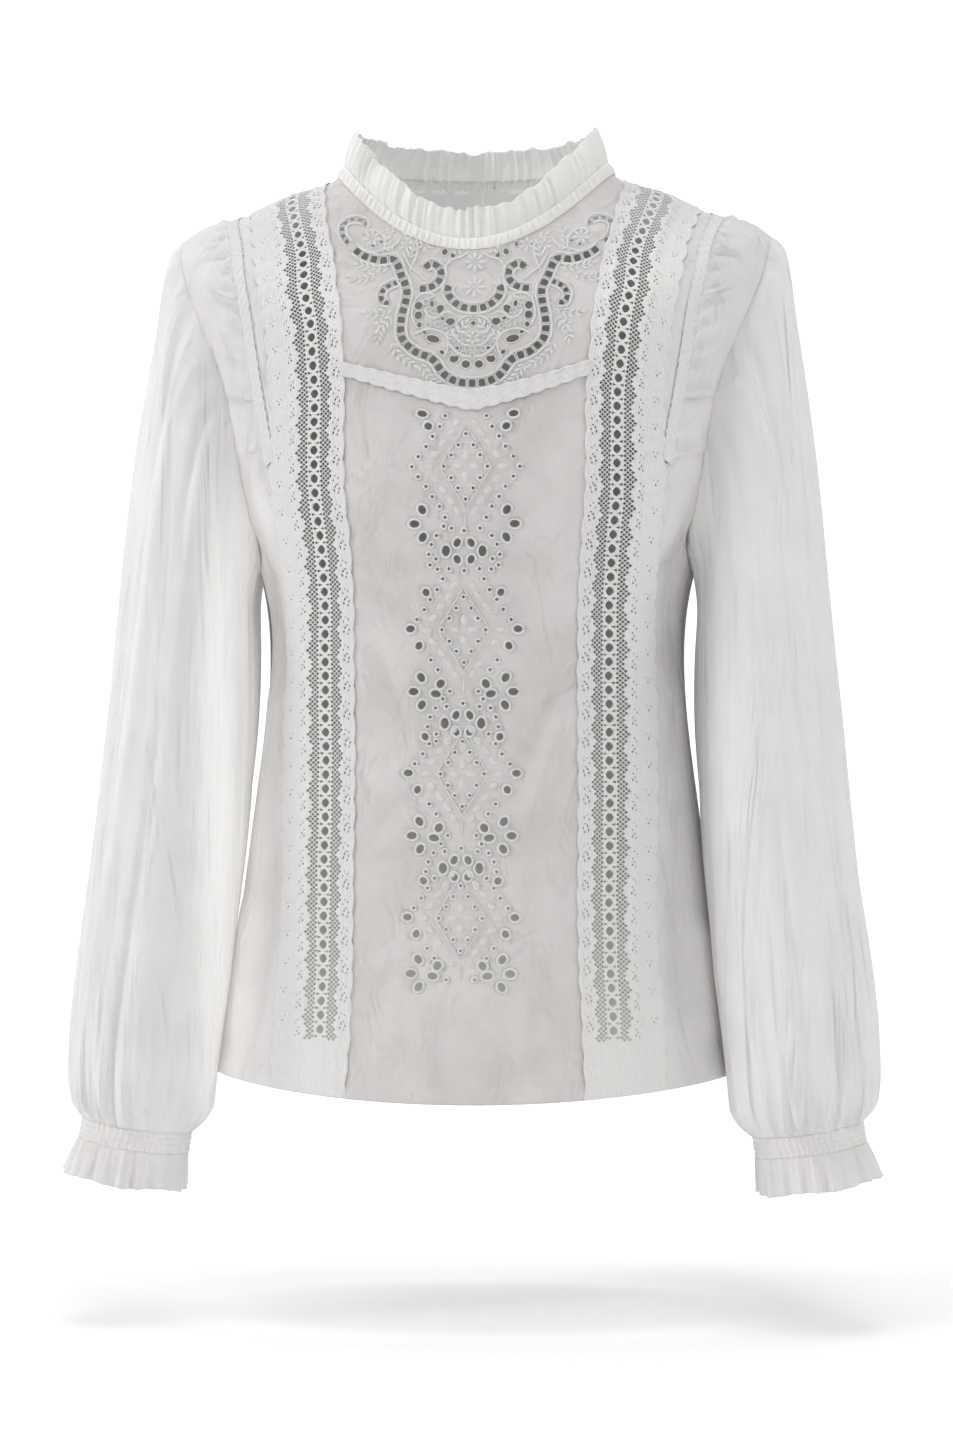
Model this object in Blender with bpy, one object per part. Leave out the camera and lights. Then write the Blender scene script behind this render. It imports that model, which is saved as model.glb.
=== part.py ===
"""Lace blouse with a cutwork yoke, ladder insertions and bishop sleeves, worn form, hollow.

The body is one smooth surface. A place on it is a pair: the angle round the body (0 at the centre
front, 90 at the side seam, 180 at the centre back) and the distance up the body from the hem.
Each cloth panel is an outline on that pair, filled with triangles and given a wall.
Sizes are in millimetres; the meshes are made in metres.
The front faces -Y. The origin is midway between the shoulders, at the height of the neck.
"""
import math

import bpy
import numpy as np
from mathutils import Vector
from mathutils.geometry import delaunay_2d_cdt

MM = 0.001
WALL = 1.0
GAP = 0.3
TRIM_LIFT = 0.9

# Body sections from the hem up: heights at the front, side and back, then half sizes.
BODY_COLUMNS = ("z_front", "z_side", "z_back", "half_width", "front", "back", "square")
BODY_ROWS = (
    (-596, -582, -592, 174, 112, 112, 0.12),
    (-520, -508, -516, 160, 108, 103, 0.15),
    (-420, -412, -416, 146.5, 105, 96, 0.18),
    (-325, -320, -322, 137, 104, 92, 0.20),
    (-262, -258, -256, 143.5, 111, 97, 0.20),
    (-200, -190, -190, 168, 114, 102, 0.20),
    (-140, -112, -122, 187, 108, 98, 0.20),
    (-98, -37, -62, 194, 97, 86, 0.20),
    (-77, -23, -30, 158, 88, 72, 0.14),
    (-63, -6, -8, 118, 82, 64, 0.07),
    (-53, 5, 3, 91, 78, 62, 0.0),
    (-46, 12, 10, 87, 75, 60, 0.0),
)
ROW_ARMPIT = 4
ROW_SHOULDER_TIP = 7
ROW_NECK = 10
MERIDIAN = math.radians(60)
# Half the gap of the side and shoulder seams, as an angle round the body
SEAM_ANGLE = 0.002

# Armhole: an oval on the body surface round the side meridian
ARMHOLE_FRONT = 28.5
ARMHOLE_BACK = 27.0
ARMHOLE_POWER = 0.8
ARMHOLE_POINTS = 16

# Lace insertion, from the hem up: z and x of the ladder, widths to each edge, slope across it
INSERT_ROWS = (
    (-590, 95.0, 21.0, 33.0, 0.0),
    (-552, 93.0, 21.0, 33.0, 0.0),
    (-501, 91.0, 21.0, 33.0, 0.0),
    (-400, 90.0, 21.0, 32.5, 0.0),
    (-327, 90.0, 21.0, 32.0, 0.0),
    (-235, 93.0, 21.0, 32.0, 0.0),
    (-162, 95.5, 21.0, 32.0, -0.05),
    (-128, 97.0, 21.0, 32.0, -0.15),
    (-98, 100.0, 21.0, 32.0, -0.25),
    (-69, 105.0, 21.0, 31.5, -0.35),
    (-40, 111.0, 20.5, 31.0, -0.38),
)
INSERT_TOP = (95.5, 116.0, 145.0)
INSERT_INNER = 25.0
INSERT_OUTER = 38.0
LADDER_OPENINGS = 70
LADDER_END = 6.0
LADDER_HALF_LONG = 2.9
LADDER_HALF_WIDE = 2.5

# Narrow lace from the shoulder seam down to the insertion, seen from the front
NARROW_LACE = (
    (157, None), (150, -57), (144.5, -85), (138, -125), (133.5, -151), (129.8, -172), (127.3, -190),
)
NARROW_HALF = 3.0
NARROW_GATHER = 7.0
PUCKER_DEPTH = 0.9
PUCKER_REACH = 14.0
WEDGE_TIP = 1.6

# Lower edge of the yoke: height at the centre, rise to the sides over this half width
YOKE_SHIFT = 4.8
YOKE_LOW = -152.0
YOKE_RISE = 20.5
YOKE_HALF = 76.0
YOKE_POWER = 1.2
TRIM_UP = (6.0, 4.0)
TRIM_DOWN = (6.0, 4.0)
TRIM_SCALLOP_DEPTH = 1.2

# Cutwork bands of the yoke, one half, from the yoke's own centre line: points as (x, z)
BORDER = (
    (78.5, -51.0), (71.7, -56.4), (65.9, -58.6), (59.4, -59.8), (52.4, -59.2), (49.2, -63.8),
    (47.0, -70.0), (44.0, -76.6), (42.8, -82.0), (43.6, -88.4), (45.0, -94.9), (45.9, -101.2),
    (46.0, -107.0), (44.6, -112.6), (40.3, -117.6), (34.8, -121.6), (28.6, -123.8),
    (23.5, -127.4), (19.6, -133.4), (14.8, -137.7), (9.0, -140.3), (0.0, -141.2),
)
INNER_BOWL = ((14.6, -75.2), (17.0, -80.4), (14.5, -86.2), (9.4, -90.6), (0.0, -92.8))
CURL = ((35.7, -79.4), (29.7, -78.8), (24.3, -76.0), (21.4, -70.4), (23.4, -64.6), (28.4, -62.6),
        (32.4, -66.0))
# Openings along each band: pitch, length, width, whether the band runs on through the middle
CUTWORK = (
    (BORDER, 6.2, 4.5, 4.6, True),
    (INNER_BOWL, 6.0, 4.3, 4.4, True),
    (CURL, 5.9, 4.3, 4.2, False),
)
# Single openings of the yoke: x, z, half length, half height, turn in degrees
YOKE_SINGLES = (
    (35.1, -90.6, 3.0, 3.0, 0), (35.0, -97.0, 3.0, 3.0, 0), (21.6, -93.0, 3.8, 2.9, -45),
    (14.6, -101.4, 3.6, 3.0, -15), (25.2, -112.5, 5.0, 2.9, 15), (11.6, -125.4, 3.6, 3.0, -25),
    (4.1, -129.0, 3.2, 3.0, -8),
)

# Eyelet column: heights of the six-petal flowers, side sprays and diamonds. Each opening is
# an oval given by x, z, half length, half height and turn in degrees.
FLOWER_HEIGHTS = (-247.0, -355.5, -447.0)
FLOWER_PETALS = ((4.4, 5.1, 2.4, 3.1, 25), (11.5, 0.0, 2.8, 3.7, 0), (4.4, -5.3, 2.4, 3.0, -25))
SPRAY_OUTER = ((26.7, 8.9, 2.6, 3.3, -30), (31.6, 0.0, 3.4, 2.6, 0), (26.3, -8.4, 2.6, 3.3, 30))
SPRAY_INNER = ((14.3, 5.0, 2.7, 3.2, 35), (17.4, -1.4, 3.5, 2.5, 10))
SPRAYS = ((-230.0, False), (-335.5, True), (-426.5, True), (-513.5, True))
DIAMONDS = (-296.5, -387.5, -478.5)
DIAMOND_EYELETS = ((23.6, 23.5, 2.4, 2.7, -30), (34.2, 0.5, 3.0, 2.4, 0), (28.4, -10.0, 2.4, 2.8, 25))
TOP_EYELETS = ((28.8, -160.5, 3.3, 2.3, 10), (24.6, -168.5, 2.8, 2.5, 30))
COLUMN_TOP = -165.0
COLUMN_LENGTH = 355.0
COLUMN_LEAN = (2.3, -3.0)
EYELET_SIDES = 6

# Back opening
SLIT_LENGTH = 92.0
SLIT_HALF = 1.4

# Sleeve sections, from the armhole down: outer x and z, inner x and z, middle y, half depth
SLEEVE_ROWS = (
    (194, -37, 144, -259, 0, 62),
    (203.5, -50, 146, -281, -1, 67),
    (210, -95, 144.5, -305, -4, 71),
    (217, -148, 143.5, -330, -8, 72),
    (224, -208, 144, -360, -14, 71),
    (231, -287, 147, -398, -22, 69),
    (238.5, -366, 152.5, -440, -31, 66),
    (246, -444, 160.5, -490, -41, 62),
    (255.5, -521, 168, -545, -49, 58),
    (259, -570, 173, -585, -54, 54),
    (257.5, -596, 176, -608, -56, 47),
    (252, -609, 181, -620, -57, 38),
)
SLEEVE_SPANS = (0.0, 0.7, 2.0, 3.8, 5.6, 7.4, 9.0, 10.0, 11.0)
CAP_FADE = 4.0
CAP_GAP = 0.5
CUFF_GATHERS = 20
GATHER_FROM = 6.5
GATHER_DEPTH = 2.4
SLEEVE_FOLDS = ((4, 2.2, 0.6), (7, 1.2, 2.1))

# Cuff: shirred band, then a flared ruffle
BAND_LENGTH = 13.0
RUFFLE_LENGTH = 23.5
RUFFLE_FLARE = 9.0
RUFFLE_DEPTH = (0.7, 1.8, 2.8)

# Collar ruffle
COLLAR_TOP = {"z_front": -26, "z_side": 35, "z_back": 30, "half_width": 79, "front": 70, "back": 56}
COLLAR_WAVES = 60
COLLAR_DEPTH = (0.5, 1.9)
COLLAR_SLIT = 1.6

# Closing of the back slit
BUTTON_ASIDE = 5.5
BUTTON_RADIUS = 4.5
BUTTON_DOME = 2.6
SHANK_RADIUS = 1.2
SHANK_LENGTH = 2.0
LOOP_RADIUS = 0.6
LOOP_REACH = 9.5

LAWN = ("cotton_lawn", (0.80, 0.79, 0.77), 0.85)
LACE = ("cotton_lace", (0.84, 0.83, 0.81), 0.80)
RUFFLE = ("gathered_lawn", (0.78, 0.77, 0.75), 0.85)
BUTTON = ("button", (0.86, 0.85, 0.83), 0.35)


class Spline:
    """Natural cubic through rows of values at rising places."""

    def __init__(self, places, values):
        self.x = np.asarray(places, float)
        self.y = np.asarray(values, float)
        if self.y.ndim == 1:
            self.y = self.y[:, None]
        n = len(self.x)
        h = np.diff(self.x)
        a = np.zeros((n, n))
        b = np.zeros_like(self.y)
        a[0, 0] = a[-1, -1] = 1.0
        for i in range(1, n - 1):
            a[i, i - 1:i + 2] = h[i - 1], 2 * (h[i - 1] + h[i]), h[i]
            b[i] = 6 * ((self.y[i + 1] - self.y[i]) / h[i] - (self.y[i] - self.y[i - 1]) / h[i - 1])
        self.m = np.linalg.solve(a, b)

    def __call__(self, at):
        at = np.atleast_1d(np.asarray(at, float))
        i = np.clip(np.searchsorted(self.x, at) - 1, 0, len(self.x) - 2)
        h = (self.x[i + 1] - self.x[i])[:, None]
        a = (self.x[i + 1] - at)[:, None] / h
        b = (at - self.x[i])[:, None] / h
        bend = ((a**3 - a) * self.m[i] + (b**3 - b) * self.m[i + 1]) * h**2 / 6
        return a * self.y[i] + b * self.y[i + 1] + bend


def section_point(angle, row):
    """Points at these angles on sections given as columns of values."""
    z_front, z_side, z_back, half_width, front, back, square = row.T
    s, c = np.sin(angle), np.cos(angle)
    boxy = 1 + square * s * s
    y = np.where(c > 0, -front * c, -back * c) * boxy
    z = z_side + (np.where(c > 0, z_front, z_back) - z_side) * c * c
    return np.column_stack((half_width * s, y, z))


def body_places():
    """Distance up the body of each row, along the 60 degree meridian."""
    rows = np.array(BODY_ROWS, float)
    points = section_point(np.full(len(rows), MERIDIAN), rows)
    steps = np.linalg.norm(np.diff(points, axis=0), axis=1)
    return np.concatenate(([0.0], np.cumsum(steps)))


UP = body_places()
BODY = Spline(UP, BODY_ROWS)
UP_ARMPIT = UP[ROW_ARMPIT]
UP_TIP = UP[ROW_SHOULDER_TIP]
UP_NECK = UP[ROW_NECK]
UP_BINDING = UP[-1]


def body_point(angle, up):
    """Outer surface of the body at angles in radians."""
    angle, up = np.broadcast_arrays(np.atleast_1d(angle), np.atleast_1d(up))
    return section_point(angle.astype(float), BODY(up))


def body_normal(angle, up):
    """Outward normals of the body surface."""
    d = 0.01
    across = body_point(angle + d, up) - body_point(angle - d, up)
    along = body_point(angle, np.asarray(up) + 1.0) - body_point(angle, np.asarray(up) - 1.0)
    n = np.cross(across, along)
    return n / np.linalg.norm(n, axis=1)[:, None]


def locate(x, z):
    """Angle and distance up of the front point seen at (x, z)."""
    low, high = 0.0, UP_NECK + 4.0
    for _ in range(48):
        middle = (low + high) / 2
        row = BODY(middle)[0]
        share = min(abs(x) / row[3], 1.0)
        if row[3] <= abs(x) and middle > UP_TIP:
            height = z + 1.0
        else:
            height = row[1] + (row[0] - row[1]) * (1 - share * share)
        low, high = (middle, high) if height < z else (low, middle)
    share = max(-1.0, min(1.0, x / BODY(low)[0][3]))
    return math.asin(share), low


def on_shoulder(x):
    """Distance up of the shoulder seam point this far from the middle."""
    low, high = UP_TIP, UP_NECK
    for _ in range(48):
        middle = (low + high) / 2
        low, high = (middle, high) if BODY(middle)[0][3] > x else (low, middle)
    return low


class Insert:
    """The lace insertion's own frame: distance from the hem and distance from the ladder."""

    def __init__(self):
        lines = ([], [], [])
        for z, x, inner, outer, slope in INSERT_ROWS:
            for line, offset in zip(lines, (-inner, 0.0, outer)):
                line.append(locate(x + offset, z + slope * offset))
        first = [(math.asin(min(1, (INSERT_ROWS[0][1] + o) / BODY_ROWS[0][3])), 0.0)
                 for o in (-INSERT_ROWS[0][2], 0.0, INSERT_ROWS[0][3])]
        side = math.pi / 2 - SEAM_ANGLE
        last = [(side, on_shoulder(x)) for x in INSERT_TOP]
        for line, low, high in zip(lines, first, last):
            line[0] = low
            line.append(high)
        middle = np.array(lines[1])
        points = body_point(middle[:, 0], middle[:, 1])
        steps = np.linalg.norm(np.diff(points, axis=0), axis=1)
        self.places = np.concatenate(([0.0], np.cumsum(steps)))
        self.length = self.places[-1]
        self.lines = [Spline(self.places, line) for line in lines]

    def at(self, along, across):
        """Angle and distance up, with across in mm, outward from the ladder."""
        along, across = np.broadcast_arrays(np.atleast_1d(along), np.atleast_1d(across))
        inner, middle, outer = (line(along) for line in self.lines)
        share = np.where(across < 0, -across / INSERT_INNER, across / INSERT_OUTER)[:, None]
        other = np.where((across < 0)[:, None], inner, outer)
        return middle + (other - middle) * share


INSERT = Insert()
CHART = 120.0


def run(start, end, step):
    """Even places from start to end, both included, about a step apart."""
    count = max(1, round(abs(end - start) / step))
    return np.linspace(start, end, count + 1)


def on_chart(points):
    """Pairs of angle and distance up as flat points in mm."""
    points = np.atleast_2d(points)
    return np.column_stack((points[:, 0] * CHART, points[:, 1]))


def clear_of(point, edges_a, edges_b, distance):
    """Whether a flat point keeps this distance from every edge."""
    d = edges_b - edges_a
    t = np.clip(((point - edges_a) * d).sum(1) / np.maximum((d * d).sum(1), 1e-9), 0, 1)
    near = edges_a + d * t[:, None]
    return np.linalg.norm(near - point, axis=1).min() > distance


def fill(outline, holes, spacing, clear):
    """Triangles inside an outline with holes, on the flat chart."""
    loops = [on_chart(outline)] + [on_chart(hole) for hole in holes]
    points, edges = [], []
    for loop in loops:
        base = len(points)
        points.extend(loop)
        edges += [(base + i, base + (i + 1) % len(loop)) for i in range(len(loop))]
    points = np.array(points)
    a = points[[e[0] for e in edges]]
    b = points[[e[1] for e in edges]]
    low, high = loops[0].min(0), loops[0].max(0)
    extra = []
    for j, v in enumerate(run(low[1], high[1], spacing[1])[1:-1]):
        for u in run(low[0], high[0], spacing[0]) + (j % 2) * spacing[0] / 2:
            spot = np.array((u, v))
            if inside(spot, loops[0]) and clear_of(spot, a, b, clear):
                extra.append(spot)
    if extra:
        points = np.vstack((points, extra))
    verts, _, faces, *_ = delaunay_2d_cdt([Vector(p) for p in points], edges, [], 1, 1e-5)
    flat = np.array([(v.x, v.y) for v in verts])
    centres = flat[np.array(faces)].mean(axis=1)
    open_at = np.zeros(len(faces), bool)
    for loop in loops[1:]:
        near = ((centres > loop.min(0)) & (centres < loop.max(0))).all(axis=1)
        for i in np.flatnonzero(near):
            open_at[i] |= inside(centres[i], loop)
    return flat / (CHART, 1.0), [tuple(f) for f, hole in zip(faces, open_at) if not hole]


def inside(spot, loop):
    """Whether a flat point lies in a closed outline."""
    x, y = loop[:, 0], loop[:, 1]
    nx, ny = np.roll(x, -1), np.roll(y, -1)
    cross = (y > spot[1]) != (ny > spot[1])
    with np.errstate(divide="ignore", invalid="ignore"):
        at = x + (spot[1] - y) / (ny - y) * (nx - x)
    return bool((cross & (spot[0] < at)).sum() % 2)


def material(kind):
    name, colour, roughness = kind
    found = bpy.data.materials.get(name)
    if found:
        return found
    made = bpy.data.materials.new(name)
    made.use_nodes = True
    shader = made.node_tree.nodes["Principled BSDF"]
    shader.inputs["Base Color"].default_value = (*colour, 1.0)
    shader.inputs["Roughness"].default_value = roughness
    shader.inputs["Metallic"].default_value = 0.0
    return made


def add_solid(name, points, faces, kind):
    """One closed solid, turned so that its faces point out."""
    p = np.asarray(points, float)
    volume = sum(np.dot(p[f[0]], np.cross(p[f[i]], p[f[i + 1]]))
                 for f in faces for i in range(1, len(f) - 1))
    if volume < 0:
        faces = [tuple(reversed(f)) for f in faces]
    mesh = bpy.data.meshes.new(name)
    mesh.from_pydata([tuple(q) for q in p * MM], [], faces)
    mesh.materials.append(material(kind))
    mesh.shade_smooth()
    mesh.set_sharp_from_angle(angle=math.radians(40))
    thing = bpy.data.objects.new(name, mesh)
    bpy.context.scene.collection.objects.link(thing)
    return thing


def add_pair(name, points, faces, kind):
    """A piece on the viewer's right and its mirror image on the left."""
    add_solid(name + "_right", points, faces, kind)
    mirrored = np.asarray(points) * (-1, 1, 1)
    add_solid(name + "_left", mirrored, [tuple(reversed(f)) for f in faces], kind)


def walled(flat, triangles, lift=0.0, ripple=None):
    """A wall under each triangle: outer points on the body, inner points below them."""
    outer = body_point(flat[:, 0], flat[:, 1])
    normal = body_normal(flat[:, 0], flat[:, 1])
    if ripple is not None:
        outer = outer + normal * ripple(flat)[:, None]
    outer = outer + normal * lift
    n = len(flat)
    points = np.vstack((outer, outer - normal * WALL))
    faces = list(triangles) + [tuple(n + i for i in reversed(f)) for f in triangles]
    used = {}
    for f in triangles:
        for i in range(len(f)):
            used[(f[i], f[(i + 1) % len(f)])] = True
    for a, b in used:
        if (b, a) not in used:
            faces.append((b, a, a + n, b + n))
    return points, faces


def tube(rings, closed=True, wall=WALL):
    """A wall through rings of equal length, thickened inward."""
    rings = np.asarray(rings, float)
    rows, count = rings.shape[:2]
    if closed:
        across = np.roll(rings, -1, 1) - np.roll(rings, 1, 1)
    else:
        across = np.gradient(rings, axis=1)
    along = np.gradient(rings, axis=0)
    normal = np.cross(across, along)
    normal /= np.linalg.norm(normal, axis=2)[:, :, None]
    centre = rings.mean(axis=1, keepdims=True)
    if ((rings - centre) * normal).sum() < 0:
        normal = -normal
    points = np.vstack((rings.reshape(-1, 3), (rings - normal * wall).reshape(-1, 3)))
    n = rows * count
    faces = []
    for i in range(rows - 1):
        for j in range(count if closed else count - 1):
            k = (j + 1) % count
            a, b, c, d = i * count + j, i * count + k, (i + 1) * count + k, (i + 1) * count + j
            faces += [(a, b, c, d), (n + d, n + c, n + b, n + a)]
    for i in (0, rows - 1):
        for j in range(count if closed else count - 1):
            a, b = i * count + j, i * count + (j + 1) % count
            faces.append((a, n + a, n + b, b) if i == 0 else (b, n + b, n + a, a))
    if not closed:
        for j in (0, count - 1):
            for i in range(rows - 1):
                a, b = i * count + j, (i + 1) * count + j
                faces.append((b, n + b, n + a, a) if j == 0 else (a, n + a, n + b, b))
    return points, faces


def mirror_line(line):
    """The same line on the left, in the opposite order."""
    line = np.asarray(line)[::-1]
    return line * (-1, 1)


def oval(x, z, half_a, half_b, turn, sides):
    """Outline of an opening seen from the front, as body places."""
    turn = math.radians(turn)
    ring = []
    for i in range(sides):
        t = 2 * math.pi * (i + 0.5) / sides
        u, v = half_a * math.cos(t), half_b * math.sin(t)
        ring.append(locate(x + u * math.cos(turn) - v * math.sin(turn),
                           z + u * math.sin(turn) + v * math.cos(turn)))
    return ring


def both_sides(x, z, half_a, half_b, turn, sides, shift):
    """An opening and its mirror image about a centre line at x = shift."""
    return [oval(shift + x, z, half_a, half_b, turn, sides),
            oval(shift - x, z, half_a, half_b, -turn, sides)]


def lean(z):
    """Sideways place of the eyelet column, which hangs slightly off the vertical."""
    share = max(0.0, (COLUMN_TOP - z) / COLUMN_LENGTH) ** 0.6
    return COLUMN_LEAN[0] + (COLUMN_LEAN[1] - COLUMN_LEAN[0]) * share


def band_openings(line, pitch, long, wide, through_middle):
    """Four-sided openings in a row along a curved band, on both halves of the yoke."""
    line = np.array(line, float)
    if through_middle:
        line = np.vstack((line, line[-2::-1] * (-1, 1)))
    steps = np.linalg.norm(np.diff(line, axis=0), axis=1)
    places = np.concatenate(([0.0], np.cumsum(steps)))
    curve = Spline(places, line)
    count = max(1, int((places[-1] - long) / pitch) + 1)
    start = (places[-1] - (count - 1) * pitch) / 2
    holes = []
    for i in range(count):
        corners = []
        for end in (-long / 2, long / 2):
            at = start + i * pitch + end
            spot = curve(at)[0]
            ahead = curve(at + 0.5)[0] - curve(at - 0.5)[0]
            side = np.array((-ahead[1], ahead[0])) / np.linalg.norm(ahead) * wide / 2
            corners += [spot - side, spot + side] if end < 0 else [spot + side, spot - side]
        holes.append([locate(YOKE_SHIFT + x, z) for x, z in corners])
        if not through_middle:
            holes.append([locate(YOKE_SHIFT - x, z) for x, z in corners])
    return holes


def yoke_edge(x, offset=0.0):
    """Body place of the yoke's lower seam, this far from the middle."""
    from_middle = x - YOKE_SHIFT * (1 - min(1.0, abs(x) / YOKE_HALF) ** 2)
    rise = YOKE_RISE * (abs(from_middle) / YOKE_HALF) ** YOKE_POWER
    return locate(x, YOKE_LOW + rise + offset)


def insert_edge(across, start, end, step):
    return INSERT.at(run(start, end, step), across)


def insert_place(up, across):
    """Distance along the insertion where its line at across reaches this height up the body."""
    low, high = 0.0, INSERT.length
    for _ in range(40):
        middle = (low + high) / 2
        low, high = (middle, high) if INSERT.at(middle, across)[0][1] < up else (low, middle)
    return low


def centre_and_yoke():
    inner = -(INSERT_INNER + GAP)
    corner_up = yoke_edge(YOKE_HALF)[1]
    seam_at = insert_place(corner_up, inner)
    edge_x = float(body_point(*INSERT.at(seam_at, inner)[0])[0][0])
    low_side = insert_edge(inner, 0.0, seam_at - 1.0, 14.0)
    seam_xs = run(edge_x - 0.3, -edge_x + 0.3, 9.0)
    below = np.array([yoke_edge(x, -GAP / 2) for x in seam_xs])
    hem_end = low_side[0][0] * CHART
    hem_turn = run(-hem_end, hem_end, 14.0) / CHART
    hem = np.column_stack((hem_turn, np.zeros(len(hem_turn))))
    outline = np.vstack((hem[:-1], low_side, below[1:-1], mirror_line(low_side)[:-1]))
    holes = []
    for flower in FLOWER_HEIGHTS:
        for x, z, a, b, turn in FLOWER_PETALS:
            holes += both_sides(x, flower + z, a, b, turn, EYELET_SIDES, lean(flower))
    for height, full in SPRAYS:
        for x, z, a, b, turn in SPRAY_OUTER + (SPRAY_INNER if full else ()):
            holes += both_sides(x, height + z, a, b, turn, EYELET_SIDES, lean(height))
    for middle in DIAMONDS:
        for x, z, a, b, turn in DIAMOND_EYELETS:
            holes += both_sides(x, middle + z, a, b, turn, EYELET_SIDES, lean(middle))
    for x, z, a, b, turn in TOP_EYELETS:
        holes += both_sides(x, z, a, b, turn, EYELET_SIDES, lean(z))
    add_solid("front_centre", *walled(*fill(outline, holes, (36.0, 60.0), 12.0)), LAWN)
    eyelets = len(holes)

    side = math.pi / 2 - SEAM_ANGLE
    high_side = insert_edge(inner, seam_at + 1.0, INSERT.length, 9.0)
    above = np.array([yoke_edge(x, GAP / 2) for x in seam_xs[::-1]])
    neck_turn = run(side * CHART, -side * CHART, 13.0) / CHART
    neck = np.column_stack((neck_turn, np.full(len(neck_turn), UP_NECK)))
    outline = np.vstack((above[1:-1], high_side, neck, mirror_line(high_side)))
    holes = []
    for band in CUTWORK:
        holes += band_openings(*band)
    for x, z, a, b, turn in YOKE_SINGLES:
        holes += both_sides(x, z, a, b, turn, 4, YOKE_SHIFT)
    add_solid("front_yoke", *walled(*fill(outline, holes, (15.0, 15.0), 5.0)), LACE)

    # The trim lies on the yoke seam: rows of points across it, moved out
    xs = run(edge_x - 1.0, -edge_x + 1.0, 5.6)
    rows = []
    for share in (0.0, 1.0):
        row = []
        for i, x in enumerate(xs):
            middle = 1 - abs(x - YOKE_SHIFT) / YOKE_HALF
            up = TRIM_UP[1] + (TRIM_UP[0] - TRIM_UP[1]) * middle
            down = TRIM_DOWN[1] + (TRIM_DOWN[0] - TRIM_DOWN[1]) * middle
            down += TRIM_SCALLOP_DEPTH * (i % 2)
            angle, height = yoke_edge(x, up - (up + down) * share)
            point = body_point(angle, height)[0] + body_normal(angle, height)[0] * (TRIM_LIFT + WALL)
            row.append(point)
        rows.append(row)
    add_solid("yoke_trim", *tube(rows, closed=False), LACE)
    return eyelets, len(holes)


def insertion():
    outline = np.vstack((
        INSERT.at(0.0, np.linspace(-INSERT_INNER, INSERT_OUTER - GAP, 6)),
        insert_edge(INSERT_OUTER - GAP, 0.0, INSERT.length, 14.0)[1:-1],
        INSERT.at(INSERT.length, np.linspace(INSERT_OUTER - GAP, -INSERT_INNER, 6)),
        insert_edge(-INSERT_INNER, INSERT.length, 0.0, 14.0)[1:-1],
    ))
    holes = []
    for at in np.linspace(LADDER_END, INSERT.length - LADDER_END, LADDER_OPENINGS):
        holes.append(INSERT.at((at, at + LADDER_HALF_LONG, at, at - LADDER_HALF_LONG),
                               (-LADDER_HALF_WIDE, 0.0, LADDER_HALF_WIDE, 0.0)))
    add_pair("lace_insert", *walled(*fill(outline, holes, (18.0, 40.0), 9.0)), LACE)
    return 2 * LADDER_OPENINGS


def narrow_line(offset):
    """The narrow lace's line, moved this far outward, from the shoulder seam down."""
    line = []
    for x, z in NARROW_LACE:
        if z is None:
            line.append((math.pi / 2 - SEAM_ANGLE, on_shoulder(x + offset)))
        else:
            line.append(locate(x + offset, z))
    return np.array(line)


def densely(line, step):
    """More points on a line of body places, on a smooth curve."""
    points = body_point(line[:, 0], line[:, 1])
    steps = np.linalg.norm(np.diff(points, axis=0), axis=1)
    places = np.concatenate(([0.0], np.cumsum(steps)))
    return Spline(places, line)(run(0.0, places[-1], step))


def armhole(turns, front=True):
    """Body places round the armhole: -90 degrees at the armpit, 90 at the shoulder tip."""
    turns = np.radians(np.atleast_1d(turns))
    width = math.radians(ARMHOLE_FRONT if front else ARMHOLE_BACK)
    c = np.cos(turns)
    angle = math.pi / 2 - width * np.abs(c) ** ARMHOLE_POWER * (1 if front else -1)
    middle, half = (UP_ARMPIT + UP_TIP) / 2, (UP_TIP - UP_ARMPIT) / 2
    return np.column_stack((angle, middle + half * np.sin(turns)))


def ripple_by_lace(line):
    """Small gathers next to the narrow lace, fading away from it."""
    def ripple(flat):
        spots = on_chart(flat)
        places = on_chart(line)
        away = np.linalg.norm(spots[:, None] - places[None], axis=2)
        near = away.argmin(axis=1)
        sign = np.where(near % 2 == 0, 1.0, -1.0)
        return PUCKER_DEPTH * sign * np.clip(1 - away.min(axis=1) / PUCKER_REACH, 0, 1)
    return ripple


def beyond_insert(place):
    """How far outside the insertion a body place lies, in mm on the chart."""
    edge = INSERT.at(insert_place(place[1], INSERT_OUTER), INSERT_OUTER)[0]
    return (place[0] - edge[0]) * CHART


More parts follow.
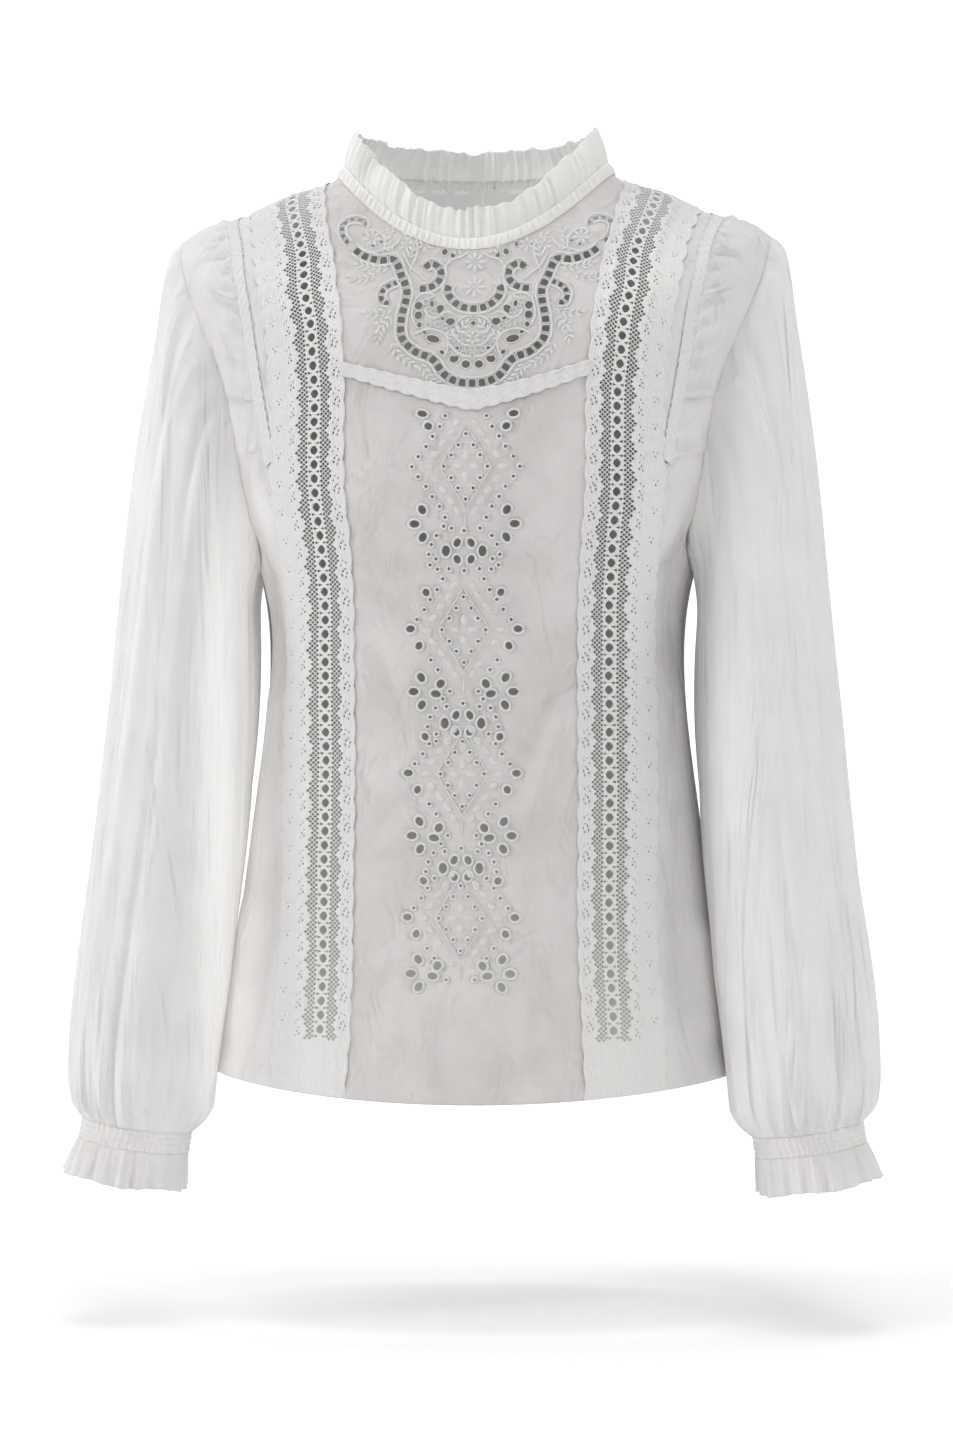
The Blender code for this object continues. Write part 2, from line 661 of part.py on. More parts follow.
def side_pieces():
    outer = INSERT_OUTER
    outer_line = densely(narrow_line(NARROW_HALF), NARROW_GATHER)
    outer_line = np.array([p for p in outer_line if beyond_insert(p) > WEDGE_TIP])

    clear_line = densely(narrow_line(-NARROW_HALF - GAP), 12.0)
    clear_line = np.array([p for p in clear_line if beyond_insert(p) > WEDGE_TIP])
    tip_at = insert_place(clear_line[-1][1], outer)
    insert_side = insert_edge(outer, tip_at, INSERT.length, 12.0)
    outline = np.vstack((insert_side, clear_line))
    add_pair("front_wedge", *walled(*fill(outline, [], (20.0, 20.0), 7.0)), LAWN)

    lace_in = densely(narrow_line(-NARROW_HALF), 12.0)
    lace_in = np.array([p for p in lace_in if beyond_insert(p) > GAP])
    lace_out = densely(narrow_line(NARROW_HALF - GAP), 2 * NARROW_GATHER)
    lace_out = np.array([p for p in lace_out if beyond_insert(p) > WEDGE_TIP])
    edge_from = insert_place(lace_in[-1][1] - 1.0, outer)
    edge_to = insert_place(lace_out[-1][1], outer)
    foot = insert_edge(outer + GAP, edge_from, edge_to, 8.0)
    outline = np.vstack((lace_in, foot, lace_out[::-1]))
    add_pair("armhole_lace", *walled(*fill(outline, [], (20.0, 20.0), 7.0)), LACE)

    side = math.pi / 2 - SEAM_ANGLE
    start = INSERT.at(0.0, outer)[0][0]
    hem_turn = run(start * CHART, side * CHART, 13.0) / CHART
    hem = np.column_stack((hem_turn, np.zeros(len(hem_turn))))
    seam_up = run(0.0, UP_ARMPIT, 38.0)
    seam = np.column_stack((np.full(len(seam_up), side), seam_up))
    hole = armhole(np.linspace(-90, 90, ARMHOLE_POINTS + 1))
    hole[:, 0] = np.minimum(hole[:, 0], side)
    shoulder_up = run(UP_TIP, outer_line[0][1], 12.0)
    shoulder = np.column_stack((np.full(len(shoulder_up), side), shoulder_up))
    down = insert_edge(outer, insert_place(outer_line[-1][1] - 1.5, outer), 0.0, 14.0)
    outline = np.vstack((hem[:-1], seam[:-1], hole[:-1], shoulder[:-1], outer_line, down[:-1]))
    ripple = ripple_by_lace(outer_line)
    add_pair("front_side", *walled(*fill(outline, [], (30.0, 42.0), 12.0), ripple=ripple), LAWN)


def back_piece():
    side = math.pi / 2 + SEAM_ANGLE
    seam_up = run(0.0, UP_ARMPIT, 38.0)
    seam = np.column_stack((np.full(len(seam_up), side), seam_up))
    hole = armhole(np.linspace(-90, 90, ARMHOLE_POINTS + 1), front=False)
    hole[:, 0] = np.maximum(hole[:, 0], side)
    shoulder_up = run(UP_TIP, UP_NECK, 13.0)
    shoulder = np.column_stack((np.full(len(shoulder_up), side), shoulder_up))
    slit_angle = math.pi - SLIT_HALF / BODY_ROWS[ROW_NECK][5]
    neck_turn = run(side * CHART, slit_angle * CHART, 13.0) / CHART
    neck = np.column_stack((neck_turn, np.full(len(neck_turn), UP_NECK)))
    slit = np.array([(slit_angle, UP_NECK - SLIT_LENGTH * share) for share in (0.33, 0.66, 0.97)])
    right = np.vstack((seam[:-1], hole[:-1], shoulder[:-1], neck, slit))
    foot = np.array([(math.pi, UP_NECK - SLIT_LENGTH)])
    left = right[::-1] * (-1, 1) + (2 * math.pi, 0)
    hem_turn = run((2 * math.pi - side) * CHART, side * CHART, 21.0)[1:-1] / CHART
    hem = np.column_stack((hem_turn, np.zeros(len(hem_turn))))
    outline = np.vstack((right, foot, left, hem))
    add_solid("back", *walled(*fill(outline, [], (40.0, 60.0), 16.0)), LAWN)


def sleeve_rings(places, count, seam_gap=0.0):
    """Rings of points down the right sleeve; turn 0 is the front, 90 the outer edge."""
    rows = Spline(range(len(SLEEVE_ROWS)), SLEEVE_ROWS)
    turns = np.arange(count) * 2 * math.pi / count
    front = (np.degrees(turns) < 90.0) | (np.degrees(turns) >= 270.0)
    local = np.where(np.degrees(turns) >= 270.0, np.degrees(turns) - 360.0, np.degrees(turns))
    hole = np.where(front[:, None], armhole(np.where(front, local, 0), True),
                    armhole(np.where(front, 0, 180.0 - np.degrees(turns)), False))
    seam = body_point(hole[:, 0], hole[:, 1]) + body_normal(hole[:, 0], hole[:, 1]) * seam_gap
    rings = []
    first = None
    for place in places:
        outer_x, outer_z, inner_x, inner_z, y, depth = rows(place)[0]
        centre = np.array(((outer_x + inner_x) / 2, y, (outer_z + inner_z) / 2))
        to_outer = np.array(((outer_x - inner_x) / 2, 0.0, (outer_z - inner_z) / 2))
        ring = centre + np.outer(np.sin(turns), to_outer)
        ring[:, 1] -= depth * np.cos(turns)
        if first is None:
            first = ring
        fade = max(0.0, 1 - place / CAP_FADE) ** 2
        rings.append(ring + (seam - first) * fade)
    return np.array(rings), turns


def sleeve():
    count = 2 * CUFF_GATHERS
    rings, turns = sleeve_rings(SLEEVE_SPANS, count, seam_gap=GAP + 0.1)
    last = SLEEVE_SPANS[-1]
    for ring, place in zip(rings, SLEEVE_SPANS):
        centre = ring.mean(axis=0)
        away = ring - centre
        away /= np.linalg.norm(away, axis=1)[:, None]
        grown = math.sin(math.pi * min(1.0, place / last)) ** 2
        wave = sum(depth * np.cos(k * turns + phase) for k, depth, phase in SLEEVE_FOLDS) * grown
        # Folds are flatter on the side that hangs next to the body
        wave *= 0.6 + 0.4 * np.sin(turns)
        gather = max(0.0, (place - GATHER_FROM) / (last - GATHER_FROM)) * GATHER_DEPTH / 2
        if place == last:
            gather *= 0.5
        ring += away * (wave + gather * np.cos(CUFF_GATHERS * turns))[:, None]
    # The armhole edge stands off the body panels' cut edge
    rings[0] += np.array((CAP_GAP, 0.0, 0.0))
    add_pair("sleeve", *tube(rings), LAWN)

    def cuff_ring(down, flare, depth, waves, points):
        edge, angle = sleeve_rings((0.0, last), points)
        ring = edge[1]
        centre = ring.mean(axis=0)
        outer, inner = ring[points // 4], ring[3 * points // 4]
        lean = (outer - inner) / np.linalg.norm(outer - inner)
        axis = np.array((lean[2], 0.0, -lean[0]))
        away = ring - centre
        length = np.linalg.norm(away, axis=1)[:, None]
        away /= length
        radial = flare + depth * np.cos(waves * angle)
        return centre + away * (length + radial[:, None]) + axis * down

    points = 2 * CUFF_GATHERS
    band = [cuff_ring(GAP + BAND_LENGTH * share, -0.6, 0.5, CUFF_GATHERS, points) for share in (0, 1)]
    add_pair("cuff_band", *tube(band), LAWN)
    points = 3 * CUFF_GATHERS
    start = 2 * GAP + BAND_LENGTH
    ruffle = []
    for share, depth in zip((0.0, 0.45, 1.0), RUFFLE_DEPTH):
        ruffle.append(cuff_ring(start + RUFFLE_LENGTH * share, RUFFLE_FLARE * share**0.8 - 0.6,
                                depth, CUFF_GATHERS, points))
    add_pair("cuff_ruffle", *tube(ruffle), RUFFLE)


def neck_pieces():
    half = math.pi - SLIT_HALF / BODY_ROWS[ROW_NECK][5]
    angles = np.linspace(-half, half, 42)
    rows = [body_point(angles, up) for up in (UP_NECK + GAP, UP_BINDING)]
    add_solid("neck_binding", *tube(rows, closed=False, wall=1.6), LACE)

    half = math.pi - COLLAR_SLIT / BODY_ROWS[-1][5]
    angles = np.linspace(-half, half, 3 * COLLAR_WAVES + 1)
    base = np.array(BODY_ROWS[-1], float)
    top = np.array([COLLAR_TOP[name] for name in BODY_COLUMNS[:-1]] + [0.0], float)
    rings = []
    for share, depth in zip((0.0, 1.0), COLLAR_DEPTH):
        ring = section_point(angles, np.tile(base + (top - base) * share, (len(angles), 1)))
        ring[:, 2] += GAP * (1 - share) + 0.25
        outward = section_point(angles, np.tile(base, (len(angles), 1))) * (1, 1, 0)
        outward /= np.linalg.norm(outward, axis=1)[:, None]
        wave = depth * np.cos(COLLAR_WAVES * (angles + math.pi))
        rings.append(ring + outward * wave[:, None])
    add_solid("collar_ruffle", *tube(rings, closed=False), RUFFLE)


def closing():
    """A shank button on one side of the slit, a thread loop round it from the other."""
    up = (UP_NECK + UP_BINDING) / 2
    angle = math.pi - BUTTON_ASIDE / BODY_ROWS[ROW_NECK][5]
    seat = body_point(angle, up)[0]
    out = body_normal(angle, up)[0]
    across = np.cross(out, (0, 0, 1.0))
    across /= np.linalg.norm(across)
    tall = np.cross(across, out)
    top = GAP + SHANK_LENGTH
    profile = [(SHANK_RADIUS, GAP), (SHANK_RADIUS, top), (BUTTON_RADIUS - 0.3, top)]
    profile += [(BUTTON_RADIUS * math.cos(t), top + 0.6 + BUTTON_DOME * math.sin(t))
                for t in np.radians((0, 35, 70))]
    sides = 14
    points, faces = [], []
    for radius, rise in profile:
        for i in range(sides):
            t = 2 * math.pi * i / sides
            points.append(seat + out * rise + (across * math.cos(t) + tall * math.sin(t)) * radius)
    for r in range(len(profile) - 1):
        for i in range(sides):
            k = (i + 1) % sides
            faces.append((r * sides + i, r * sides + k, (r + 1) * sides + k, (r + 1) * sides + i))
    faces.append(tuple(reversed(range(sides))))
    faces.append(tuple(range((len(profile) - 1) * sides, len(profile) * sides)))
    add_solid("back_button", points, faces, BUTTON)

    bend = SHANK_RADIUS + LOOP_RADIUS + GAP
    toward = across if across[0] < 0 else -across
    side = np.cross(out, toward)
    path = [toward * LOOP_REACH + side * bend]
    path += [toward * bend * math.cos(t) + side * bend * math.sin(t)
             for t in np.radians(np.arange(90, 271, 22.5))]
    path.append(toward * LOOP_REACH - side * bend)
    path = [seat + p + out * (LOOP_RADIUS + GAP) for p in path]
    sides = 6
    points, faces = [], []
    for i, p in enumerate(path):
        ahead = path[min(i + 1, len(path) - 1)] - path[max(i - 1, 0)]
        ahead /= np.linalg.norm(ahead)
        level = np.cross(out, ahead)
        for j in range(sides):
            t = 2 * math.pi * j / sides
            points.append(p + (level * math.cos(t) + out * math.sin(t)) * LOOP_RADIUS)
    for r in range(len(path) - 1):
        for j in range(sides):
            k = (j + 1) % sides
            faces.append((r * sides + j, r * sides + k, (r + 1) * sides + k, (r + 1) * sides + j))
    faces.append(tuple(reversed(range(sides))))
    faces.append(tuple(range((len(path) - 1) * sides, len(path) * sides)))
    add_solid("back_loop", points, faces, LACE)


def main():
    for thing in list(bpy.data.objects):
        bpy.data.objects.remove(thing, do_unlink=True)
    eyelets, cutwork = centre_and_yoke()
    ladder = insertion()
    side_pieces()
    back_piece()
    sleeve()
    neck_pieces()
    closing()
    print("openings cut:", eyelets, "eyelets,", cutwork, "in the yoke,", ladder, "in the ladders")


main()
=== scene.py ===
"""Lace blouse: the look of every piece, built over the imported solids, in one frame with them.

The body is one smooth surface. A place on it is a pair: the angle round the body (0 at the centre
front, 90 at the side seam, 180 at the centre back) and the distance up the body from the hem.
Panels are outlines on that pair, filled with small triangles. Embroidery is given as seen from the
front, by x and z, and is laid on the panel's own points, moved out.
Sizes are in millimetres; the meshes are made in metres. The front faces -Y.
"""
import math

import bpy
import numpy as np
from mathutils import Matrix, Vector
from mathutils.geometry import delaunay_2d_cdt


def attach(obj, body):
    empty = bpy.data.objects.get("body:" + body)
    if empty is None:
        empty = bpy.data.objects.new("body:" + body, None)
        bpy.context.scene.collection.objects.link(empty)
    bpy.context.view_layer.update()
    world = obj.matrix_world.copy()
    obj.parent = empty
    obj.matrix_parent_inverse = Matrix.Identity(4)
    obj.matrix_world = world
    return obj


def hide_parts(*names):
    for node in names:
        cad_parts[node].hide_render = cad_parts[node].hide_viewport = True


MM = 0.001
# Thickness of the drawn cloth, height of the laces over the panels, gap between the solids
CLOTH = 0.5
LACE_LIFT = 0.7
GAP = 0.3

# Body sections from the hem up: z at the front, side and back, half width, front and back depth,
# and how square the section is
BODY_ROWS = (
    (-596, -582, -592, 174, 112, 112, 0.12),
    (-520, -508, -516, 160, 108, 103, 0.15),
    (-420, -412, -416, 146.5, 105, 96, 0.18),
    (-325, -320, -322, 137, 104, 92, 0.20),
    (-262, -258, -256, 143.5, 111, 97, 0.20),
    (-200, -190, -190, 168, 114, 102, 0.20),
    (-140, -112, -122, 187, 108, 98, 0.20),
    (-98, -37, -62, 194, 97, 86, 0.20),
    (-77, -23, -30, 158, 88, 72, 0.14),
    (-63, -6, -8, 118, 82, 64, 0.07),
    (-53, 5, 3, 91, 78, 62, 0.0),
    (-46, 12, 10, 87, 75, 60, 0.0),
)
ROW_ARMPIT = 4
ROW_SHOULDER_TIP = 7
ROW_NECK = 10
# Distances up the body are measured along this angle; panels stop this far short of the side seam
MERIDIAN = math.radians(60)
SEAM_ANGLE = 0.002
# Half widths of the armhole in degrees round the body, and how round it is
ARMHOLE_FRONT = 28.5
ARMHOLE_BACK = 27.0
ARMHOLE_POWER = 0.8

# Lace insertion, from the hem up: z and x of the ladder, widths to each edge, slope across it
INSERT_ROWS = (
    (-590, 95.0, 21.0, 33.0, 0.0),
    (-552, 93.0, 21.0, 33.0, 0.0),
    (-501, 91.0, 21.0, 33.0, 0.0),
    (-400, 90.0, 21.0, 32.5, 0.0),
    (-327, 90.0, 21.0, 32.0, 0.0),
    (-235, 93.0, 21.0, 32.0, 0.0),
    (-162, 95.5, 21.0, 32.0, -0.05),
    (-128, 97.0, 21.0, 32.0, -0.15),
    (-98, 100.0, 21.0, 32.0, -0.25),
    (-69, 105.0, 21.0, 31.5, -0.35),
    (-40, 111.0, 20.5, 31.0, -0.38),
)
# Where its inner edge, ladder and outer edge meet the shoulder seam, and its widths to each edge
# in its own frame
INSERT_TOP = (95.5, 116.0, 145.0)
INSERT_INNER = 25.0
INSERT_OUTER = 38.0

# Narrow lace: x and z of its middle, from the shoulder seam down
NARROW_LACE = (
    (157, None), (150, -57), (144.5, -85), (138, -125), (133.5, -151), (129.8, -172), (127.3, -190),
)
NARROW_HALF = 3.0

# The yoke's lower seam: x and z of its lowest point, its rise at this half width, and its curve
YOKE_SHIFT = 4.8
YOKE_LOW = -152.0
YOKE_RISE = 20.5
YOKE_HALF = 76.0
YOKE_POWER = 1.2

# Sleeve sections, from the shoulder down: outer x and z, inner x and z, middle y, half depth
SLEEVE_ROWS = (
    (194, -37, 144, -259, 0, 62),
    (203.5, -50, 146, -281, -1, 67),
    (210, -95, 144.5, -305, -4, 71),
    (217, -148, 143.5, -330, -8, 72),
    (224, -208, 144, -360, -14, 71),
    (231, -287, 147, -398, -22, 69),
    (238.5, -366, 152.5, -440, -31, 66),
    (246, -444, 160.5, -490, -41, 62),
    (255.5, -521, 168, -545, -49, 58),
    (259, -570, 173, -585, -54, 54),
    (257.5, -596, 176, -608, -56, 47),
    (252, -609, 181, -620, -57, 38),
)
# Over how many sections the sleeve leaves the armhole's own line
CAP_FADE = 4.0
CUFF_GATHERS = 20
# Broad waves round the sleeve: number, depth, phase
SLEEVE_FOLDS = ((4, 2.2, 0.6), (7, 1.2, 2.1))
BAND_LENGTH = 13.0
RUFFLE_LENGTH = 23.5
RUFFLE_FLARE = 6.0

# The collar's top edge, as a body section
COLLAR_TOP = (-26, 35, 30, 79, 70, 56, 0.0)
COLLAR_WAVES = 60
SLIT_LENGTH = 92.0
SLIT_HALF = 0.06

# Main creases, as seen from the front or the back: x and z of the two ends, half width, depth.
# A negative depth is a trough, a positive one a ridge.
CREASE_SCALE = 2.2
CREASES_FRONT = (
    (56, -330, 30, -392, 7, -1.5), (62, -352, 38, -420, 6, 1.2), (60, -205, 20, -236, 7, -1.0),
    (-62, -300, -36, -362, 7, -1.4), (-60, -430, -34, -396, 6, -1.1), (58, -500, 34, -468, 7, 1.1),
    (-64, -520, -36, -492, 6, 1.0), (54, -560, 30, -590, 7, -1.2), (-20, -560, -4, -600, 7, -1.2),
    (62, -560, 40, -455, 9, -1.6), (-66, -575, -48, -470, 10, -1.8), (-20, -585, -28, -520, 9, 1.2),
    (28, -592, 22, -515, 8, -1.3), (58, -250, 20, -292, 10, -1.5), (-60, -262, -24, -300, 9, -1.3),
    (62, -330, 34, -352, 8, -1.0), (-58, -395, -26, -372, 8, 0.9), (66, -170, 40, -200, 9, -0.9),
    (-66, -178, -36, -205, 9, -0.8), (64, -430, 44, -408, 8, -0.8), (-38, -455, -30, -540, 8, -1.1),
    (132, -250, 128, -335, 9, -2.0), (-133, -255, -126, -340, 9, -2.2), (140, -545, 130, -430, 10, -2.2),
    (-142, -550, -128, -425, 10, -2.4), (155, -560, 150, -480, 7, 1.6), (-154, -565, -147, -470, 7, 1.8),
    (150, -225, 128, -262, 8, -1.6), (-152, -228, -128, -268, 8, -1.6), (128, -590, 120, -520, 8, 1.4),
    (-122, -588, -118, -500, 8, 1.3), (-40, -105, -62, -118, 8, -0.5), (58, -112, 66, -84, 7, -0.6),
)
CREASES_BACK = (
    (0, -140, 4, -300, 16, -2.0), (70, -110, 96, -230, 12, -2.2), (-74, -115, -98, -240, 12, -2.4),
    (40, -300, 62, -560, 12, -2.2), (-44, -310, -60, -575, 12, -2.6), (100, -330, 118, -570, 11, 2.2),
    (-104, -340, -122, -560, 11, 2.0), (10, -420, -6, -590, 12, 1.8), (80, -250, 20, -285, 9, -1.6),
    (-84, -255, -26, -290, 9, -1.8), (30, -70, 12, -130, 8, -1.0), (-34, -72, -16, -135, 8, -1.1),
)


class Spline:
    """Natural cubic through rows of values at rising places."""

    def __init__(self, places, values):
        self.x = np.asarray(places, float)
        self.y = np.asarray(values, float)
        n = len(self.x)
        h = np.diff(self.x)
        a = np.zeros((n, n))
        b = np.zeros_like(self.y)
        a[0, 0] = a[-1, -1] = 1.0
        for i in range(1, n - 1):
            a[i, i - 1:i + 2] = h[i - 1], 2 * (h[i - 1] + h[i]), h[i]
            b[i] = 6 * ((self.y[i + 1] - self.y[i]) / h[i] - (self.y[i] - self.y[i - 1]) / h[i - 1])
        self.m = np.linalg.solve(a, b)

    def __call__(self, at):
        at = np.atleast_1d(np.asarray(at, float))
        i = np.clip(np.searchsorted(self.x, at) - 1, 0, len(self.x) - 2)
        h = (self.x[i + 1] - self.x[i])[:, None]
        a = (self.x[i + 1] - at)[:, None] / h
        b = (at - self.x[i])[:, None] / h
        bend = ((a**3 - a) * self.m[i] + (b**3 - b) * self.m[i + 1]) * h**2 / 6
        return a * self.y[i] + b * self.y[i + 1] + bend


def curve(points, step=None, count=None):
    """Places along a smooth line through these points, a step apart or a given count."""
    points = np.asarray(points, float)
    lengths = np.linalg.norm(np.diff(points, axis=0), axis=1)
    places = np.concatenate(([0.0], np.cumsum(lengths)))
    count = count or max(3, round(places[-1] / step) + 1)
    return Spline(places, points)(np.linspace(0.0, places[-1], count))


def section_point(angle, row):
    """Points at these angles on sections given as columns of values."""
    z_front, z_side, z_back, half_width, front, back, square = row.T
    s, c = np.sin(angle), np.cos(angle)
    y = np.where(c > 0, -front * c, -back * c) * (1 + square * s * s)
    z = z_side + (np.where(c > 0, z_front, z_back) - z_side) * c * c
    return np.column_stack((half_width * s, y, z))


def body_places():
    """Distances up the body of its sections."""
    rows = np.array(BODY_ROWS, float)
    points = section_point(np.full(len(rows), MERIDIAN), rows)
    return np.concatenate(([0.0], np.cumsum(np.linalg.norm(np.diff(points, axis=0), axis=1))))


UP = body_places()
BODY = Spline(UP, BODY_ROWS)
UP_ARMPIT = UP[ROW_ARMPIT]
UP_TIP = UP[ROW_SHOULDER_TIP]
UP_NECK = UP[ROW_NECK]
UP_BINDING = UP[-1]


def body_point(flat):
    """Outer surface of the body at pairs of angle and distance up."""
    return section_point(flat[:, 0], BODY(flat[:, 1]))


def body_normal(flat):
    """Outward unit directions at these body places."""
    turn, rise = (0.01, 0.0), (0.0, 1.0)
    across = body_point(flat + turn) - body_point(flat - turn)
    along = body_point(flat + rise) - body_point(flat - rise)
    n = np.cross(across, along)
    return n / np.linalg.norm(n, axis=1)[:, None]


def locate(x, z):
    """Body places of the front points seen at (x, z)."""
    x, z = np.broadcast_arrays(np.atleast_1d(np.asarray(x, float)), np.asarray(z, float))
    low, high = np.zeros(x.shape), np.full(x.shape, UP_NECK + 4.0)
    for _ in range(36):
        middle = (low + high) / 2
        row = BODY(middle)
        share = np.minimum(np.abs(x) / row[:, 3], 1.0)
        height = row[:, 1] + (row[:, 0] - row[:, 1]) * (1 - share * share)
        height = np.where((row[:, 3] <= np.abs(x)) & (middle > UP_TIP), z + 1.0, height)
        below = height < z
        low, high = np.where(below, middle, low), np.where(below, high, middle)
    return np.column_stack((np.arcsin(np.clip(x / BODY(low)[:, 3], -1, 1)), low))


def on_shoulder(x):
    """Distance up of the shoulder seam point this far from the middle."""
    low, high = UP_TIP, UP_NECK
    for _ in range(40):
        middle = (low + high) / 2
        low, high = (middle, high) if BODY(middle)[0][3] > x else (low, middle)
    return low


class Insert:
    """The lace insertion's own frame: distance from the hem and distance from the ladder."""

    def __init__(self):
        rows = np.array(INSERT_ROWS, float)
        z, x, inner, outer, slope = rows.T
        lines = []
        for offset, top in zip((-inner, 0 * inner, outer), INSERT_TOP):
            line = locate(x + offset, z + slope * offset)
            line[0] = math.asin((x[0] + offset[0]) / BODY_ROWS[0][3]), 0.0
            lines.append(np.vstack((line, (math.pi / 2 - SEAM_ANGLE, on_shoulder(top)))))
        steps = np.linalg.norm(np.diff(body_point(lines[1]), axis=0), axis=1)
        places = np.concatenate(([0.0], np.cumsum(steps)))
        self.length = places[-1]
        self.lines = [Spline(places, line) for line in lines]

    def at(self, along, across):
        along, across = np.broadcast_arrays(np.atleast_1d(along), np.atleast_1d(across))
        inner, middle, outer = (line(along) for line in self.lines)
        share = np.where(across < 0, -across / INSERT_INNER, across / INSERT_OUTER)[:, None]
        other = np.where((across < 0)[:, None], inner, outer)
        return middle + (other - middle) * share


INSERT = Insert()
# One radian round the body is taken as this many millimetres where panels are laid flat
CHART = 120.0
# Distances between a panel's own points: centre front and wedges, side fronts, back
FRONT_SPACING = 3.6
SIDE_SPACING = 2.6
BACK_SPACING = 5.0


def crease_depth(points):
    """How far the main creases move each surface point in or out."""
    total = np.zeros(len(points))
    for creases, here in ((CREASES_FRONT, points[:, 1] < 0), (CREASES_BACK, points[:, 1] >= 0)):
        seen = points[here][:, (0, 2)]
        for x0, z0, x1, z1, width, depth in creases:
            start = np.array((x0, z0), float)
            line = np.array((x1 - x0, z1 - z0), float)
            share = (seen - start) @ line / (line @ line)
            away = seen - start - line * np.clip(share, -0.2, 1.2)[:, None]
            taper = np.clip(1 - (2 * share - 1) ** 4, 0, 1)
            total[here] += CREASE_SCALE * depth * taper * np.exp(-((away**2).sum(1)) / width**2)
    return total


def on_front(spots, lift=0.0):
    """Points on the front panels as seen at (x, z), creases included, moved out by lift."""
    flat = locate(spots[:, 0], spots[:, 1])
    base, normal = body_point(flat), body_normal(flat)
    return base + normal * (crease_depth(base) + lift)[:, None]


def inside(spots, loop):
    """Which flat points lie in a closed outline."""
    x, y = loop[:, 0], loop[:, 1]
    nx, ny = np.roll(x, -1), np.roll(y, -1)
    cross = (y > spots[:, 1:2]) != (ny > spots[:, 1:2])
    with np.errstate(divide="ignore", invalid="ignore"):
        at = x + (spots[:, 1:2] - y) / (ny - y) * (nx - x)
    return (cross & (spots[:, 0:1] < at)).sum(1) % 2 == 1


def far_from(spots, points, distance):
    """Which flat points keep this distance from every given point."""
    kept = np.ones(len(spots), bool)
    for i in range(0, len(points), 400):
        gaps = np.linalg.norm(spots[:, None] - points[None, i:i + 400], axis=2)
        kept &= gaps.min(axis=1) > distance
    return kept


def fill(outline, holes, spacing, rows=()):
    """Small triangles inside an outline with holes, as body places and faces."""
    loops = [np.asarray(loop) * (CHART, 1.0) for loop in [outline] + holes]
    edges = []
    base = 0
    for loop in loops:
        n = len(loop)
        edges += [(base + i, base + (i + 1) % n) for i in range(n)]
        base += n
    fixed = np.vstack(loops)
    low, high = loops[0].min(0), loops[0].max(0)
    us, vs = np.arange(low[0], high[0], spacing), np.arange(low[1], high[1], spacing)
    u, v = np.meshgrid(us, vs)
    u = u + (np.arange(len(vs)) % 2)[:, None] * spacing / 2
    grid = np.column_stack((u.ravel(), v.ravel()))
    for v in rows:
        at = np.arange(low[0], high[0], 2.5)
        grid = np.vstack((grid[np.abs(grid[:, 1] - v) > 0.7], np.column_stack((at, np.full(len(at), v)))))
    grid = grid[inside(grid, loops[0])]
    grid = grid[far_from(grid, fixed, min(spacing * 0.45, 1.2 if len(rows) else spacing))]
    points = [Vector(p) for p in np.vstack((fixed, grid))]
    verts, _, faces, *_ = delaunay_2d_cdt(points, edges, [], 1, 1e-5)
    flat = np.array([(v.x, v.y) for v in verts])
    faces = np.array(faces)
    centres = flat[faces].mean(axis=1)
    shut = np.ones(len(faces), bool)
    for loop in loops[1:]:
        near = np.flatnonzero(((centres > loop.min(0)) & (centres < loop.max(0))).all(axis=1))
        if len(near):
            shut[near[inside(centres[near], loop)]] = False
    return flat / (CHART, 1.0), faces[shut]


# Millimetres of cloth in one unit of the UV map
UV_UNIT = 10.0


def add_mesh(name, points, faces, kind, uv=None, slot="lawn", flip=False):
    """A smooth mesh in metres, with cloth places as its UV map, riding on the body."""
    mesh = bpy.data.meshes.new(name)
    faces = [tuple(int(i) for i in f) for f in faces]
    if flip:
        faces = [f[::-1] for f in faces]
    mesh.from_pydata([tuple(p) for p in np.asarray(points) * MM], [], faces)
    if uv is not None:
        layer = mesh.uv_layers.new(name="cloth")
        corners = np.zeros(len(mesh.loops), np.int32)
        mesh.loops.foreach_get("vertex_index", corners)
        layer.data.foreach_set("uv", (np.asarray(uv, float)[corners] / UV_UNIT).astype(np.float32).ravel())
    mesh.materials.append(MATERIALS[kind])
    mesh.shade_smooth()
    thing = bpy.data.objects.new(name, mesh)
    bpy.context.scene.collection.objects.link(thing)
    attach(thing, "root")
    return thing


def shell(name, flat, faces, kind, slot="lawn", lift=0.0, mirror=False, relief=None, thick=CLOTH):
    """A thin cloth of these body places: an outer and an inner face and the edges between."""
    base, normal = body_point(flat), body_normal(flat)
    if mirror:
        base, normal = base * (-1, 1, 1), normal * (-1, 1, 1)
    rise = crease_depth(base) + lift
    if relief is not None:
        rise = rise + relief(flat)
    outer = base + normal * rise[:, None]
    points = np.vstack((outer, outer - normal * thick))
    n = len(flat)
    faces = np.asarray(faces)
    used = {}
    for f in faces:
        for i in range(3):
            used[(f[i], f[(i + 1) % 3])] = True
    rim = [(b, a, a + n, b + n) for a, b in used if (b, a) not in used]
    every = [tuple(f) for f in faces] + [tuple(f[::-1] + n) for f in faces] + rim
    uv = np.tile(flat * (CHART, 1.0), (2, 1))
    return add_mesh(name, points, every, kind, uv, slot, flip=mirror)


